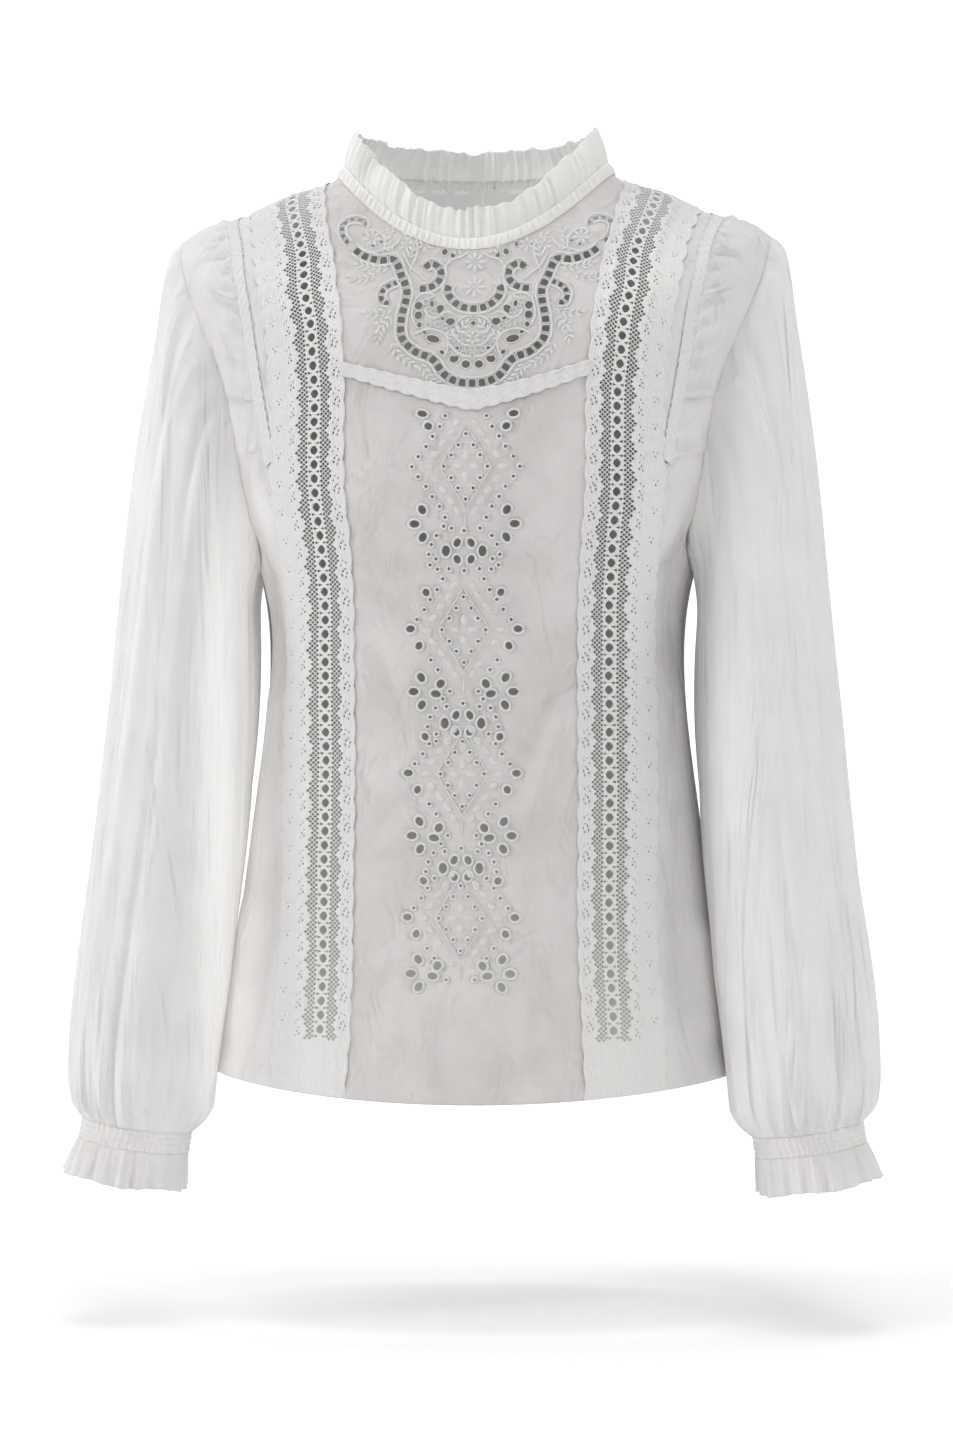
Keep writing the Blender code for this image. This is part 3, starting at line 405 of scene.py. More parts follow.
def ring_tube(rings, closed=True, thick=CLOTH):
    """A thin wall through rings of equal length, thickened inward."""
    rings = np.asarray(rings, float)
    rows, count = rings.shape[:2]
    across = np.roll(rings, -1, 1) - np.roll(rings, 1, 1) if closed else np.gradient(rings, axis=1)
    normal = np.cross(across, np.gradient(rings, axis=0))
    normal /= np.linalg.norm(normal, axis=2)[:, :, None]
    if ((rings - rings.mean(axis=1, keepdims=True)) * normal).sum() < 0:
        normal = -normal
    points = np.vstack((rings.reshape(-1, 3), (rings - normal * thick).reshape(-1, 3)))
    n = rows * count
    span = count if closed else count - 1
    i, j = np.meshgrid(np.arange(rows - 1), np.arange(span), indexing="ij")
    k = (j + 1) % count
    a, b = (i * count + j).ravel(), (i * count + k).ravel()
    faces = np.column_stack((a, b, b + count, a + count))
    faces = np.vstack((faces, faces[:, ::-1] + n))
    ends = []
    j = np.arange(span)
    k = (j + 1) % count
    last = (rows - 1) * count
    ends.append(np.column_stack((j, n + j, n + k, k)))
    ends.append(np.column_stack((last + k, n + last + k, n + last + j, last + j)))
    if not closed:
        i = np.arange(rows - 1) * count
        ends.append(np.column_stack((i, i + count, n + i + count, n + i)))
        i = i + count - 1
        ends.append(np.column_stack((i + count, i, n + i, n + i + count)))
    lengths = np.linalg.norm(np.diff(rings, axis=0), axis=2).mean(axis=1)
    v = np.concatenate(([0.0], np.cumsum(lengths)))
    round_length = np.linalg.norm(np.diff(rings[0], axis=0), axis=1).sum()
    u = np.arange(count) / count * round_length
    uv = np.column_stack((np.tile(u, rows), np.repeat(v, count)))
    return points, np.vstack([faces] + ends), np.tile(uv, (2, 1))


# Materials


def nodes_of(name, colour, roughness, sheen):
    """A new material with its node tree and its shader."""
    made = bpy.data.materials.new(name)
    made.use_nodes = True
    tree = made.node_tree
    shader = tree.nodes["Principled BSDF"]
    shader.inputs["Base Color"].default_value = (*colour, 1.0)
    shader.inputs["Roughness"].default_value = roughness
    shader.inputs["Sheen Weight"].default_value = sheen
    shader.inputs["Sheen Roughness"].default_value = 0.5
    shader.inputs["Specular IOR Level"].default_value = 0.2
    return made, tree, shader


def add_node(tree, kind, **values):
    """A new node, with these settings or socket values."""
    node = tree.nodes.new(kind)
    for name, value in values.items():
        if hasattr(node, name):
            setattr(node, name, value)
        else:
            node.inputs[name.replace("_", " ")].default_value = value
    return node


def wave(tree, source, axis, per_mm):
    """A sine of the cloth place along one axis."""
    parts = add_node(tree, "ShaderNodeSeparateXYZ")
    tree.links.new(source, parts.inputs[0])
    scaled = add_node(tree, "ShaderNodeMath", operation="MULTIPLY")
    scaled.inputs[1].default_value = 2 * math.pi * per_mm * UV_UNIT
    tree.links.new(parts.outputs[axis], scaled.inputs[0])
    sine = add_node(tree, "ShaderNodeMath", operation="SINE")
    tree.links.new(scaled.outputs[0], sine.inputs[0])
    return sine.outputs[0]


def combine(tree, operation, a, b):
    """Result of a sum or product of two sockets or numbers."""
    node = add_node(tree, "ShaderNodeMath", operation=operation)
    for socket, value in zip(node.inputs, (a, b)):
        if isinstance(value, (int, float)):
            socket.default_value = value
        else:
            tree.links.new(value, socket)
    return node.outputs[0]


def place_axes(tree):
    """The point's own X, Y and Z in metres."""
    parts = add_node(tree, "ShaderNodeSeparateXYZ")
    tree.links.new(add_node(tree, "ShaderNodeTexCoord").outputs["Object"], parts.inputs[0])
    return parts.outputs


def noise(tree, source, **values):
    """A soft random value at these places."""
    made = add_node(tree, "ShaderNodeTexNoise", **values)
    tree.links.new(source, made.inputs[0])
    return made.outputs[0]


def stretched(tree, source, scale):
    """Places multiplied along each axis."""
    made = add_node(tree, "ShaderNodeMapping")
    made.inputs["Scale"].default_value = scale
    tree.links.new(source, made.inputs[0])
    return made.outputs[0]


def bumps(tree, height, strength, distance):
    """A bump node for this height, so many metres at its fullest."""
    made = add_node(tree, "ShaderNodeBump", Strength=strength, Distance=distance)
    tree.links.new(height, made.inputs["Height"])
    return made


def mapped(tree, source, low, high, start=0.0, end=1.0, kind="LINEAR"):
    """A value between start and end as the source goes from low to high."""
    made = add_node(tree, "ShaderNodeMapRange", interpolation_type=kind)
    for name, value in (("From Min", low), ("From Max", high), ("To Min", start), ("To Max", end)):
        made.inputs[name].default_value = value
    tree.links.new(source, made.inputs[0])
    return made.outputs[0]


def soft_step(tree, source, start, end):
    """0 at start, 1 at end, smooth between; start may be the larger of the two."""
    if end > start:
        return mapped(tree, source, start, end, 0.0, 1.0, "SMOOTHSTEP")
    return mapped(tree, source, end, start, 1.0, 0.0, "SMOOTHSTEP")


def tint(tree, shader, first, second, share):
    """A colour between two, by the share, as the shader's base colour."""
    mix = add_node(tree, "ShaderNodeMix", data_type="RGBA")
    mix.inputs[6].default_value = (*first, 1.0)
    mix.inputs[7].default_value = (*second, 1.0)
    tree.links.new(share, mix.inputs[0])
    tree.links.new(mix.outputs[2], shader.inputs["Base Color"])


# Painted light: a glow in the cloth beside each underarm, standing in for light through the thin cloth:
# between which distances from the middle it comes in and goes out, between which heights, which way the
# cloth faces, and its strength on each side
GLOW_X = (0.112, 0.158)
GLOW_END_X = (0.182, 0.158)
GLOW_Z = (-0.14, -0.30)
GLOW_FACING = (0.15, -0.25)
GLOW_SIDES = ((-1.0, 0.26), (1.0, 0.03))
GLOW_COLOUR = (1.0, 0.985, 0.97, 1.0)
# Painted light on the back of the collar, a glow standing in for light through it: how far back it starts
# and is full, and its strength
RUFFLE_PAINTED_GLOW = (0.0, 0.04, 0.18)


def painted_glow(tree, shader, lit=None):
    """A faint painted glow in the cloth between the sleeves and the body, and at the back where lit,
    standing in for light through the thin cloth.
    """
    x, y, z = place_axes(tree)
    down = soft_step(tree, z, *GLOW_Z)
    total = 0.0
    for sign, strength in GLOW_SIDES:
        out = combine(tree, "MULTIPLY", x, sign)
        near = combine(tree, "MULTIPLY", soft_step(tree, out, *GLOW_X), soft_step(tree, out, *GLOW_END_X))
        part = combine(tree, "MULTIPLY", combine(tree, "MULTIPLY", near, down), strength)
        total = combine(tree, "ADD", part, total)
    if lit:
        start, full, strength = lit
        behind = combine(tree, "MULTIPLY", soft_step(tree, y, start, full), strength)
        total = combine(tree, "ADD", total, behind)
    facing = add_node(tree, "ShaderNodeSeparateXYZ")
    tree.links.new(add_node(tree, "ShaderNodeNewGeometry").outputs["Normal"], facing.inputs[0])
    total = combine(tree, "MULTIPLY", total, soft_step(tree, facing.outputs["Y"], *GLOW_FACING))
    shader.inputs["Emission Color"].default_value = GLOW_COLOUR
    tree.links.new(total, shader.inputs["Emission Strength"])


# Scale of the slubs on the UV map, which makes them long and thin
SLUB_STRETCH = (9.0, 0.9, 1.0)
# Full heights in metres of the weave, the soft folds and the strands of a thread
WEAVE_HEIGHT = 0.0004
FOLD_HEIGHT = 0.012
THREAD_HEIGHT = 0.0005


def cloth_material(name, colour, shade, weave=2.2, strength=0.25, slub=0.5, sheen=0.25,
                   folds=(26.0, 26.0), fold_depth=0.4, lit=None):
    """Woven cotton: threads both ways, slubs, soft folds so many to a metre, faint uneven tone."""
    made, tree, shader = nodes_of(name, colour, 0.88, sheen)
    # Painted light: a glow beside the underarms, and on the back of the collar where lit
    painted_glow(tree, shader, lit)
    grain = add_node(tree, "ShaderNodeUVMap", uv_map="cloth").outputs[0]
    place = add_node(tree, "ShaderNodeTexCoord").outputs["Object"]
    threads = combine(tree, "ADD", wave(tree, grain, "X", weave), wave(tree, grain, "Y", weave))
    slubs = noise(tree, stretched(tree, grain, SLUB_STRETCH), Scale=1.6, Detail=4.0, Roughness=0.6)
    height = combine(tree, "ADD", combine(tree, "MULTIPLY", threads, 0.25),
                     combine(tree, "MULTIPLY", slubs, slub))
    fine = bumps(tree, height, strength, WEAVE_HEIGHT)
    across, down = folds
    drape = stretched(tree, place, (across, across, down))
    crumple = noise(tree, drape, Scale=1.0, Detail=3.0, Roughness=0.5, Distortion=0.6)
    soft = bumps(tree, crumple, fold_depth, FOLD_HEIGHT)
    tree.links.new(soft.outputs[0], fine.inputs["Normal"])
    tree.links.new(fine.outputs[0], shader.inputs["Normal"])
    tone = noise(tree, place, Scale=22.0, Detail=3.0, Roughness=0.55)
    uneven = combine(tree, "ADD", combine(tree, "MULTIPLY", tone, 0.75),
                     combine(tree, "MULTIPLY", slubs, 0.25))
    tint(tree, shader, shade, colour, mapped(tree, uneven, 0.3, 0.65))
    return made


def thread_material(name, colour, shade, per_mm, strength, rough=0.75, sheen=0.35):
    """Stitched thread: fine parallel strands across the stitch, with fuzzy unevenness."""
    made, tree, shader = nodes_of(name, colour, rough, sheen)
    grain = add_node(tree, "ShaderNodeUVMap", uv_map="cloth").outputs[0]
    place = add_node(tree, "ShaderNodeTexCoord").outputs["Object"]
    fuzz = noise(tree, place, Scale=900.0, Detail=3.0, Roughness=0.6)
    strands = combine(tree, "MULTIPLY", wave(tree, grain, "X", per_mm), 0.5)
    relief = bumps(tree, combine(tree, "ADD", strands, fuzz), strength, THREAD_HEIGHT)
    tree.links.new(relief.outputs[0], shader.inputs["Normal"])
    tint(tree, shader, shade, colour, fuzz)
    return made


# The back's inner face has painted shade below the first height and a painted glow above the second
INNER_PAINTED_SHADE_HEIGHTS = (-0.035, -0.008)
INNER_COLOUR = (0.80, 0.79, 0.78)
INNER_PAINTED_SHADE_COLOUR = (0.58, 0.575, 0.555)
INNER_PAINTED_GLOW = 0.2


def painted_shade_inner_material():
    """The back's inner face: painted shade inside the body, a painted glow near the neck."""
    made, tree, shader = nodes_of("inner_lawn_painted_shade", INNER_COLOUR, 0.9, 0.1)
    # Painted shade: darker towards the waist and hem; painted light: an emission glow towards the neck
    height = mapped(tree, place_axes(tree)["Z"], *INNER_PAINTED_SHADE_HEIGHTS)
    tint(tree, shader, INNER_PAINTED_SHADE_COLOUR, INNER_COLOUR, height)
    shader.inputs["Emission Color"].default_value = GLOW_COLOUR
    glow = combine(tree, "MULTIPLY", height, INNER_PAINTED_GLOW)
    tree.links.new(glow, shader.inputs["Emission Strength"])
    return made


def button_material():
    """Pale shell with faint clouds."""
    made, tree, shader = nodes_of("button_shell", (0.80, 0.79, 0.76), 0.25, 0.0)
    shader.inputs["Specular IOR Level"].default_value = 0.5
    place = add_node(tree, "ShaderNodeTexCoord").outputs["Object"]
    tint(tree, shader, (0.86, 0.84, 0.80), (0.72, 0.71, 0.69), noise(tree, place, Scale=250.0, Detail=2.0))
    return made


def make_materials():
    """Every material by its kind: colour, then its shade. The cotton lawn comes in copies of different
    brightness: painted shade on the centre front and yoke, painted light on the sides, back, sleeves, cuffs
    and ruffles.
    """
    return {
        # One lawn in darker and lighter copies: the darker is painted shade, the lighter ones painted light
        "lawn": cloth_material("cotton_lawn", (0.81, 0.785, 0.775), (0.69, 0.665, 0.655),
                               strength=0.6, folds=(30.0, 20.0), fold_depth=1.0),
        "side": cloth_material("side_lawn_painted_light", (0.85, 0.835, 0.825), (0.76, 0.745, 0.735),
                               strength=0.5, folds=(30.0, 15.0), fold_depth=1.0),
        "sleeve": cloth_material("sleeve_lawn_painted_light", (0.88, 0.87, 0.86), (0.82, 0.81, 0.80),
                                 strength=0.4, folds=(42.0, 4.5), fold_depth=1.0),
        "cuff": cloth_material("cuff_lawn_painted_light", (0.84, 0.825, 0.815), (0.74, 0.725, 0.715), slub=0.8),
        "ruffle": cloth_material("ruffle_lawn_painted_light", (0.86, 0.85, 0.835), (0.77, 0.76, 0.745),
                                 slub=0.8, lit=RUFFLE_PAINTED_GLOW),
        "lace": thread_material("lace_thread", (0.90, 0.89, 0.88), (0.80, 0.79, 0.78), 1.1, 0.6),
        "satin": thread_material("satin_stitch", (0.86, 0.85, 0.84), (0.76, 0.75, 0.74),
                                 1.8, 0.6, 0.6, 0.4),
        "rim": thread_material("rim_stitch", (0.93, 0.925, 0.915), (0.85, 0.845, 0.835),
                               2.2, 0.6, 0.6, 0.4),
        "inner": painted_shade_inner_material(),
        "button": button_material(),
    }


MATERIALS = {}

# Lines and outlines


def run(start, end, step):
    """Even places from start to end, both included, about a step apart."""
    return np.linspace(start, end, max(1, round(abs(end - start) / step)) + 1)


def mirror_line(line):
    """The line mirrored about the middle and run the other way."""
    return np.asarray(line)[::-1] * (-1, 1)


def insert_edge(across, start, end, step):
    """Body places along the insertion, at this distance across from its ladder."""
    return INSERT.at(run(start, end, step), across)


def insert_place(up, across):
    """Distance along the insertion where its line at across reaches this height up the body."""
    low, high = 0.0, INSERT.length
    for _ in range(40):
        middle = (low + high) / 2
        low, high = (middle, high) if INSERT.at(middle, across)[0][1] < up else (low, middle)
    return low


def yoke_edge(x, offset=0.0):
    """Body places of the yoke's lower seam at these distances from the middle."""
    x = np.atleast_1d(np.asarray(x, float))
    from_middle = x - YOKE_SHIFT * (1 - np.minimum(1.0, np.abs(x) / YOKE_HALF) ** 2)
    rise = YOKE_RISE * (np.abs(from_middle) / YOKE_HALF) ** YOKE_POWER
    return locate(x, YOKE_LOW + rise + offset)


def oval(x, z, half_a, half_b, turn, sides=12):
    """Outline of an oval as seen from the front."""
    t = 2 * math.pi * (np.arange(sides) + 0.5) / sides
    turn = math.radians(turn)
    u, v = half_a * np.cos(t), half_b * np.sin(t)
    return np.column_stack((x + u * math.cos(turn) - v * math.sin(turn),
                            z + u * math.sin(turn) + v * math.cos(turn)))


def both(x, z, half_a, half_b, turn, shift):
    """An oval and its mirror image about the line x = shift, as rows of values."""
    if abs(x) < 1e-6:
        return [(shift, z, half_a, half_b, turn)]
    return [(shift + x, z, half_a, half_b, turn), (shift - x, z, half_a, half_b, -turn)]


# Embroidery, laid on the front panels


def closed_tubes(name, points, kind, along, slot="lace"):
    """Many closed rings or strips in one mesh: points by piece, place round it, place across."""
    m, n, k = points.shape[:3]
    base = np.arange(m * n * k).reshape(m, n, k)
    a = base
    b = np.roll(base, -1, 1)
    c = np.roll(b, -1, 2)
    d = np.roll(base, -1, 2)
    faces = np.stack((a, b, c, d), axis=-1).reshape(-1, 4)
    uv = np.column_stack((np.repeat(along.ravel(), k), np.tile(np.arange(k), m * n)))
    return add_mesh(name, points.reshape(-1, 3), faces, kind, uv, slot)


# Section of a stitched rim: distance out from the opening, height
RIM_PROFILE = ((-0.25, 0.05), (0.0, 0.75), (0.6, 0.85), (1.2, 0.02), (0.45, -0.25))


def rims(name, outlines, grow=1.0, kind="satin"):
    """A raised stitched rim round each opening."""
    outlines = np.asarray(outlines)
    middle = outlines.mean(axis=1, keepdims=True)
    away = outlines - middle
    away /= np.linalg.norm(away, axis=2, keepdims=True)
    rows = []
    for out, lift in RIM_PROFILE:
        spots = outlines + away * out * grow
        rows.append(on_front(spots.reshape(-1, 2), lift * grow).reshape(*outlines.shape[:2], 3))
    lengths = np.linalg.norm(outlines - np.roll(outlines, 1, 1), axis=2)
    return closed_tubes(name, np.stack(rows, axis=2)[:, ::-1], kind, np.cumsum(lengths, axis=1))


def ridges(name, lines, wide, high, kind="satin", lumps=0.12):
    """Raised cords along lines seen from the front, tapered at both ends."""
    profile = ((-0.5, 0.0), (-0.32, 0.8), (0.0, 1.0), (0.32, 0.8), (0.5, 0.0), (0.0, -0.3))
    points, faces, uv = [], [], []
    base = 0
    for line in lines:
        line = np.asarray(line, float)
        ahead = np.gradient(line, axis=0)
        ahead /= np.linalg.norm(ahead, axis=1)[:, None]
        side = np.column_stack((-ahead[:, 1], ahead[:, 0]))
        n = len(line)
        ends = np.clip(np.minimum(np.arange(n), n - 1 - np.arange(n)) / 1.5, 0.25, 1.0)
        beat = 1 + lumps * np.sin(np.arange(n) * 2.4)
        lengths = np.concatenate(([0.0], np.cumsum(np.linalg.norm(np.diff(line, axis=0), axis=1))))
        for across, lift in profile:
            spots = line + side * (across * wide * ends)[:, None]
            points.append(on_front(spots, (lift * high * ends * beat)))
            uv.append(np.column_stack((lengths, np.full(n, across))))
        k = len(profile)
        for j in range(k):
            a, b = base + j * n, base + (j + 1) % k * n
            i = np.arange(n - 1)
            faces += list(np.column_stack((a + i, b + i, b + i + 1, a + i + 1)))
        faces.append([base + j * n for j in range(k)])
        faces.append([base + j * n + n - 1 for j in reversed(range(k))])
        base += k * n
    return add_mesh(name, np.vstack(points), faces, kind, np.vstack(uv), "lace")


def pads(name, ovals, high=0.8, kind="satin"):
    """Small domes of satin stitch: leaves, petals and dots."""
    sides = 12
    rows = ((1.0, -0.2), (1.0, 0.12), (0.84, 0.55), (0.5, 0.92))
    faces, uv = [], []
    t = 2 * math.pi * np.arange(sides) / sides
    spots, lifts = [], []
    for x, z, a, b, turn in ovals:
        angle = math.radians(turn)
        sharp = 1 - 0.25 * np.cos(t) ** 4
        for share, lift in rows:
            u, v = a * share * np.cos(t), b * share * np.sin(t) * sharp
            spots.append(np.column_stack((x + u * math.cos(angle) - v * math.sin(angle),
                                          z + u * math.sin(angle) + v * math.cos(angle))))
            lifts.append(np.full(sides, lift * high))
            uv.append(np.column_stack((u, v)))
        spots.append(np.array([(x, z)]))
        lifts.append(np.array([high]))
        uv.append(np.zeros((1, 2)))
    points = on_front(np.vstack(spots), np.concatenate(lifts))
    size = len(rows) * sides + 1
    for i in range(len(ovals)):
        base = i * size
        for r in range(len(rows) - 1):
            j = np.arange(sides)
            k = (j + 1) % sides
            a = base + r * sides
            faces += list(np.column_stack((a + j, a + k, a + sides + k, a + sides + j)))
        top = base + (len(rows) - 1) * sides
        faces += [(top + j, top + (j + 1) % sides, base + size - 1) for j in range(sides)]
        faces.append(tuple(base + j for j in reversed(range(sides))))
    return add_mesh(name, points, faces, kind, np.vstack(uv), "lace")


# Centre panel: eyelet column

FLOWER_HEIGHTS = (-247.0, -355.5, -447.0)
FLOWER_PETALS = ((4.4, 5.1, 2.4, 3.1, 25), (11.5, 0.0, 2.8, 3.7, 0), (4.4, -5.3, 2.4, 3.0, -25))
SPRAY_OUTER = ((26.7, 8.9, 2.6, 3.3, -30), (31.6, 0.0, 3.4, 2.6, 0), (26.3, -8.4, 2.6, 3.3, 30))
SPRAY_INNER = ((14.3, 5.0, 2.7, 3.2, 35), (17.4, -1.4, 3.5, 2.5, 10))
SPRAYS = ((-230.0, False), (-335.5, True), (-426.5, True), (-513.5, True))
DIAMONDS = (-296.5, -387.5, -478.5)
FIRST_DIAMOND = -194.0
DIAMOND_EYELETS = ((23.6, 23.5, 2.4, 2.7, -30), (34.2, 0.5, 3.0, 2.4, 0), (28.4, -10.0, 2.4, 2.8, 25))
TOP_EYELETS = ((28.8, -160.5, 3.3, 2.3, 10), (24.6, -168.5, 2.8, 2.5, 30))
# Small round eyelets of one diamond: inside its cord, then round the outside
INNER_SMALL = ((0.0, 20.6), (4.7, 13.6), (9.1, 7.2), (13.8, 0.0), (9.1, -7.2), (4.7, -13.6), (0.0, -20.6))
OUTER_SMALL = ((34.0, 0.0), (30.0, 6.3), (25.0, 12.6), (21.0, 19.0), (16.5, 25.2), (13.0, 32.0),
               (30.0, -6.3), (25.0, -12.6), (21.0, -19.0), (16.5, -25.2), (13.0, -32.0), (9.0, -38.8))
LINK_SMALL = ((17.4, 9.6), (20.8, 4.0), (17.8, -5.0), (22.4, -2.2), (21.6, -8.8), (17.0, -11.4),
              (10.4, 10.6), (12.8, 15.4), (9.6, -11.2), (26.4, 9.4), (0.0, 12.6), (0.0, -12.4))
SMALL_HOLE = 1.2
CROSS_PADS = ((5.4, 0.0, 3.2, 2.1, 0), (0.0, 6.4, 2.0, 3.4, 0), (0.0, -6.4, 2.0, 3.4, 0))
ROUND_PADS = ((23.3, 0.0, 3.3, 2.1, 0), (19.5, 7.6, 3.2, 2.1, -35), (14.3, 14.8, 3.2, 2.1, -40),
              (9.3, 21.5, 3.2, 2.1, -45), (5.5, 28.0, 3.0, 2.0, -55), (19.5, -7.6, 3.2, 2.1, 35),
              (14.3, -14.8, 3.2, 2.1, 40), (9.3, -21.5, 3.2, 2.1, 45), (5.5, -28.0, 3.0, 2.0, 55))
DIAMOND_CORD = ((0.0, 26.0), (8.6, 12.6), (16.5, 0.0), (8.6, -12.6), (0.0, -26.0))
COLUMN_TOP = -165.0
COLUMN_LENGTH = 355.0
COLUMN_LEAN = (2.3, -3.0)


def lean(z):
    """Sideways place of the eyelet column, which hangs slightly off the vertical."""
    share = max(0.0, (COLUMN_TOP - z) / COLUMN_LENGTH) ** 0.6
    return COLUMN_LEAN[0] + (COLUMN_LEAN[1] - COLUMN_LEAN[0]) * share


def column_openings():
    """Large openings as the solids have them, and the small round eyelets."""
    large, small = [], []
    for flower in FLOWER_HEIGHTS:
        for x, z, a, b, turn in FLOWER_PETALS:
            large += both(x, flower + z, a, b, turn, lean(flower))
    for height, full in SPRAYS:
        for x, z, a, b, turn in SPRAY_OUTER + (SPRAY_INNER if full else ()):
            large += both(x, height + z, a, b, turn, lean(height))
    for middle in DIAMONDS:
        for x, z, a, b, turn in DIAMOND_EYELETS:
            large += both(x, middle + z, a, b, turn, lean(middle))
    for x, z, a, b, turn in TOP_EYELETS:
        large += both(x, z, a, b, turn, lean(z))
    taken = np.array([(x, z) for x, z, *_ in large])
    rows = [(middle, INNER_SMALL + OUTER_SMALL) for middle in (FIRST_DIAMOND,) + DIAMONDS]
    rows += [(flower, LINK_SMALL) for flower in FLOWER_HEIGHTS]
    for middle, places in rows:
        for x, z in places:
            for spot in both(x, middle + z, SMALL_HOLE, SMALL_HOLE, 0, lean(middle)):
                if np.linalg.norm(taken - spot[:2], axis=1).min() > 4.6 and spot[1] < -157:
                    small.append(spot)
                    taken = np.vstack((taken, spot[:2]))
    return large, small


def front_centre():
    """The centre front panel, and the embroidery of its eyelet column."""
    under = -(INSERT_INNER - 5.0)
    corner_up = yoke_edge(YOKE_HALF)[0][1]
    seam_at = insert_place(corner_up, under)
    side = insert_edge(under, 0.0, seam_at, 6.0)
    edge_x = float(body_point(side[-1:])[0][0])
    below = yoke_edge(run(edge_x, -edge_x, 4.0), 4.0)
    hem_turn = run(-side[0][0] * CHART, side[0][0] * CHART, 4.0) / CHART
    hem = np.column_stack((hem_turn, np.zeros(len(hem_turn))))
    outline = np.vstack((hem[:-1], side, below[1:-1], mirror_line(side)[:-1]))
    large, small = column_openings()
    outlines = [oval(*row) for row in large] + [oval(*row, sides=8) for row in small]
    holes = [locate(spots[:, 0], spots[:, 1]) for spots in outlines]
    flat, faces = fill(outline, holes, FRONT_SPACING, HEM_ROWS)
    panel = shell("front_centre_cloth", flat, faces, "lawn", relief=hem_relief)
    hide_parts("front_centre")
    rims("eyelet_rims", [oval(*row) for row in large], 1.3, "rim")
    rims("small_eyelet_rims", [oval(*row, sides=8) for row in small], 1.15, "rim")
    satin, cords = [], []
    for middle in (FIRST_DIAMOND,) + DIAMONDS:
        shift = lean(middle)
        for x, z, a, b, turn in CROSS_PADS + ROUND_PADS:
            if middle + z < -158:
                satin += both(x, middle + z, a, b, turn, shift)
        line = np.array(DIAMOND_CORD) + (shift, middle)
        bent = np.vstack([line[:1]] + [run_line(a, b, 1.2)[1:] for a, b in zip(line[:-1], line[1:])])
        cords += [bent, bent * (-1, 1) + (2 * shift, 0)]
        bar = [(shift, middle - 29.0), (shift - 0.3, middle - 40.0)]
        cords.append(run_line(*bar, 1.2))
    pads("column_satin", satin, 1.3)
    ridges("column_cords", cords, 1.4, 1.0)


def run_line(start, end, step):
    """Even points on a straight line, about a step apart."""
    start, end = np.array(start, float), np.array(end, float)
    share = run(0.0, np.linalg.norm(end - start), step)[:, None] / np.linalg.norm(end - start)
    return start + (end - start) * share


HEM_HEIGHT = 8.4
HEM_ROWS = (1.5, 6.4, 7.2, 7.8, 8.4, 9.0, 9.8)


def hem_relief(flat):
    """A turned hem: a slightly thicker band with its stitch line pressed in."""
    up = flat[:, 1]
    band = 0.6 / (1 + np.exp(np.clip((up - HEM_HEIGHT) * 3, -50, 50)))
    stitch = -0.5 * np.exp(-((up - HEM_HEIGHT + 1.2) ** 2) / 0.3)
    uneven = 0.25 * np.sin(flat[:, 0] * 61 + 2 * np.sin(flat[:, 0] * 17)) * np.clip(1 - up / 9.0, 0, 1)
    return band + stitch + uneven

# Yoke

# Bands of square openings, one half, from the yoke's own centre line: points as (x, z)
BORDER = (
    (78.5, -51.0), (71.7, -56.4), (65.9, -58.6), (59.4, -59.8), (52.4, -59.2), (49.2, -63.8),
    (47.0, -70.0), (44.0, -76.6), (42.8, -82.0), (43.6, -88.4), (45.0, -94.9), (45.9, -101.2),
    (46.0, -107.0), (44.6, -112.6), (40.3, -117.6), (34.8, -121.6), (28.6, -123.8),
    (23.5, -127.4), (19.6, -133.4), (14.8, -137.7), (9.0, -140.3), (0.0, -141.2),
)
INNER_BOWL = ((14.6, -75.2), (17.0, -80.4), (14.5, -86.2), (9.4, -90.6), (0.0, -92.8))
CURL = ((35.7, -79.4), (29.7, -78.8), (24.3, -76.0), (21.4, -70.4), (23.4, -64.6), (28.4, -62.6),
        (32.4, -66.0))
SIDE_CURL = ((48.2, -74.4), (52.6, -76.0), (57.3, -79.2), (59.3, -83.8), (57.2, -88.2), (53.4, -88.4))
CORNER_CURL = ((80.6, -49.2), (84.4, -45.2), (86.8, -40.0), (86.6, -34.6), (82.6, -31.2),
               (76.6, -31.0), (72.2, -34.0), (73.8, -37.6))
# Openings along each band: pitch, length, width, whether the band runs on through the middle
CUTWORK = (
    (BORDER, 6.2, 4.5, 4.6, True),
    (INNER_BOWL, 6.0, 4.3, 4.4, True),
    (CURL, 5.9, 4.3, 4.2, False),
    (SIDE_CURL, 4.9, 3.3, 3.2, False),
    (CORNER_CURL, 4.9, 3.2, 2.8, False),
)
# Single openings: x, z, half length, half height, turn in degrees
YOKE_SINGLES = (
    (35.1, -90.6, 2.6, 2.8, 0), (35.0, -97.0, 2.6, 2.8, 0), (21.6, -93.0, 3.3, 2.5, -45),
    (14.6, -101.4, 3.1, 2.6, -15), (25.2, -112.5, 4.4, 2.5, 15), (11.6, -125.4, 3.1, 2.6, -25),
    (4.1, -129.0, 2.8, 2.6, -8), (34.2, -103.2, 1.6, 1.9, 10), (26.6, -89.4, 1.4, 2.3, -10),
    (19.6, -99.2, 1.5, 1.2, 30), (7.6, -103.6, 1.5, 1.9, 10), (0.0, -102.4, 1.6, 1.6, 0),
    (19.4, -121.2, 1.8, 1.4, 30), (19.6, -54.6, 1.9, 2.3, 20), (26.0, -49.4, 1.3, 1.9, 10),
    (14.2, -56.8, 1.6, 1.9, 10), (31.0, -108.0, 1.8, 1.2, 35), (9.8, -118.6, 1.3, 1.3, 0),
    (66.2, -49.4, 1.5, 1.0, 15), (61.0, -47.0, 1.5, 1.0, 30), (69.8, -41.4, 1.4, 1.0, -30),
)
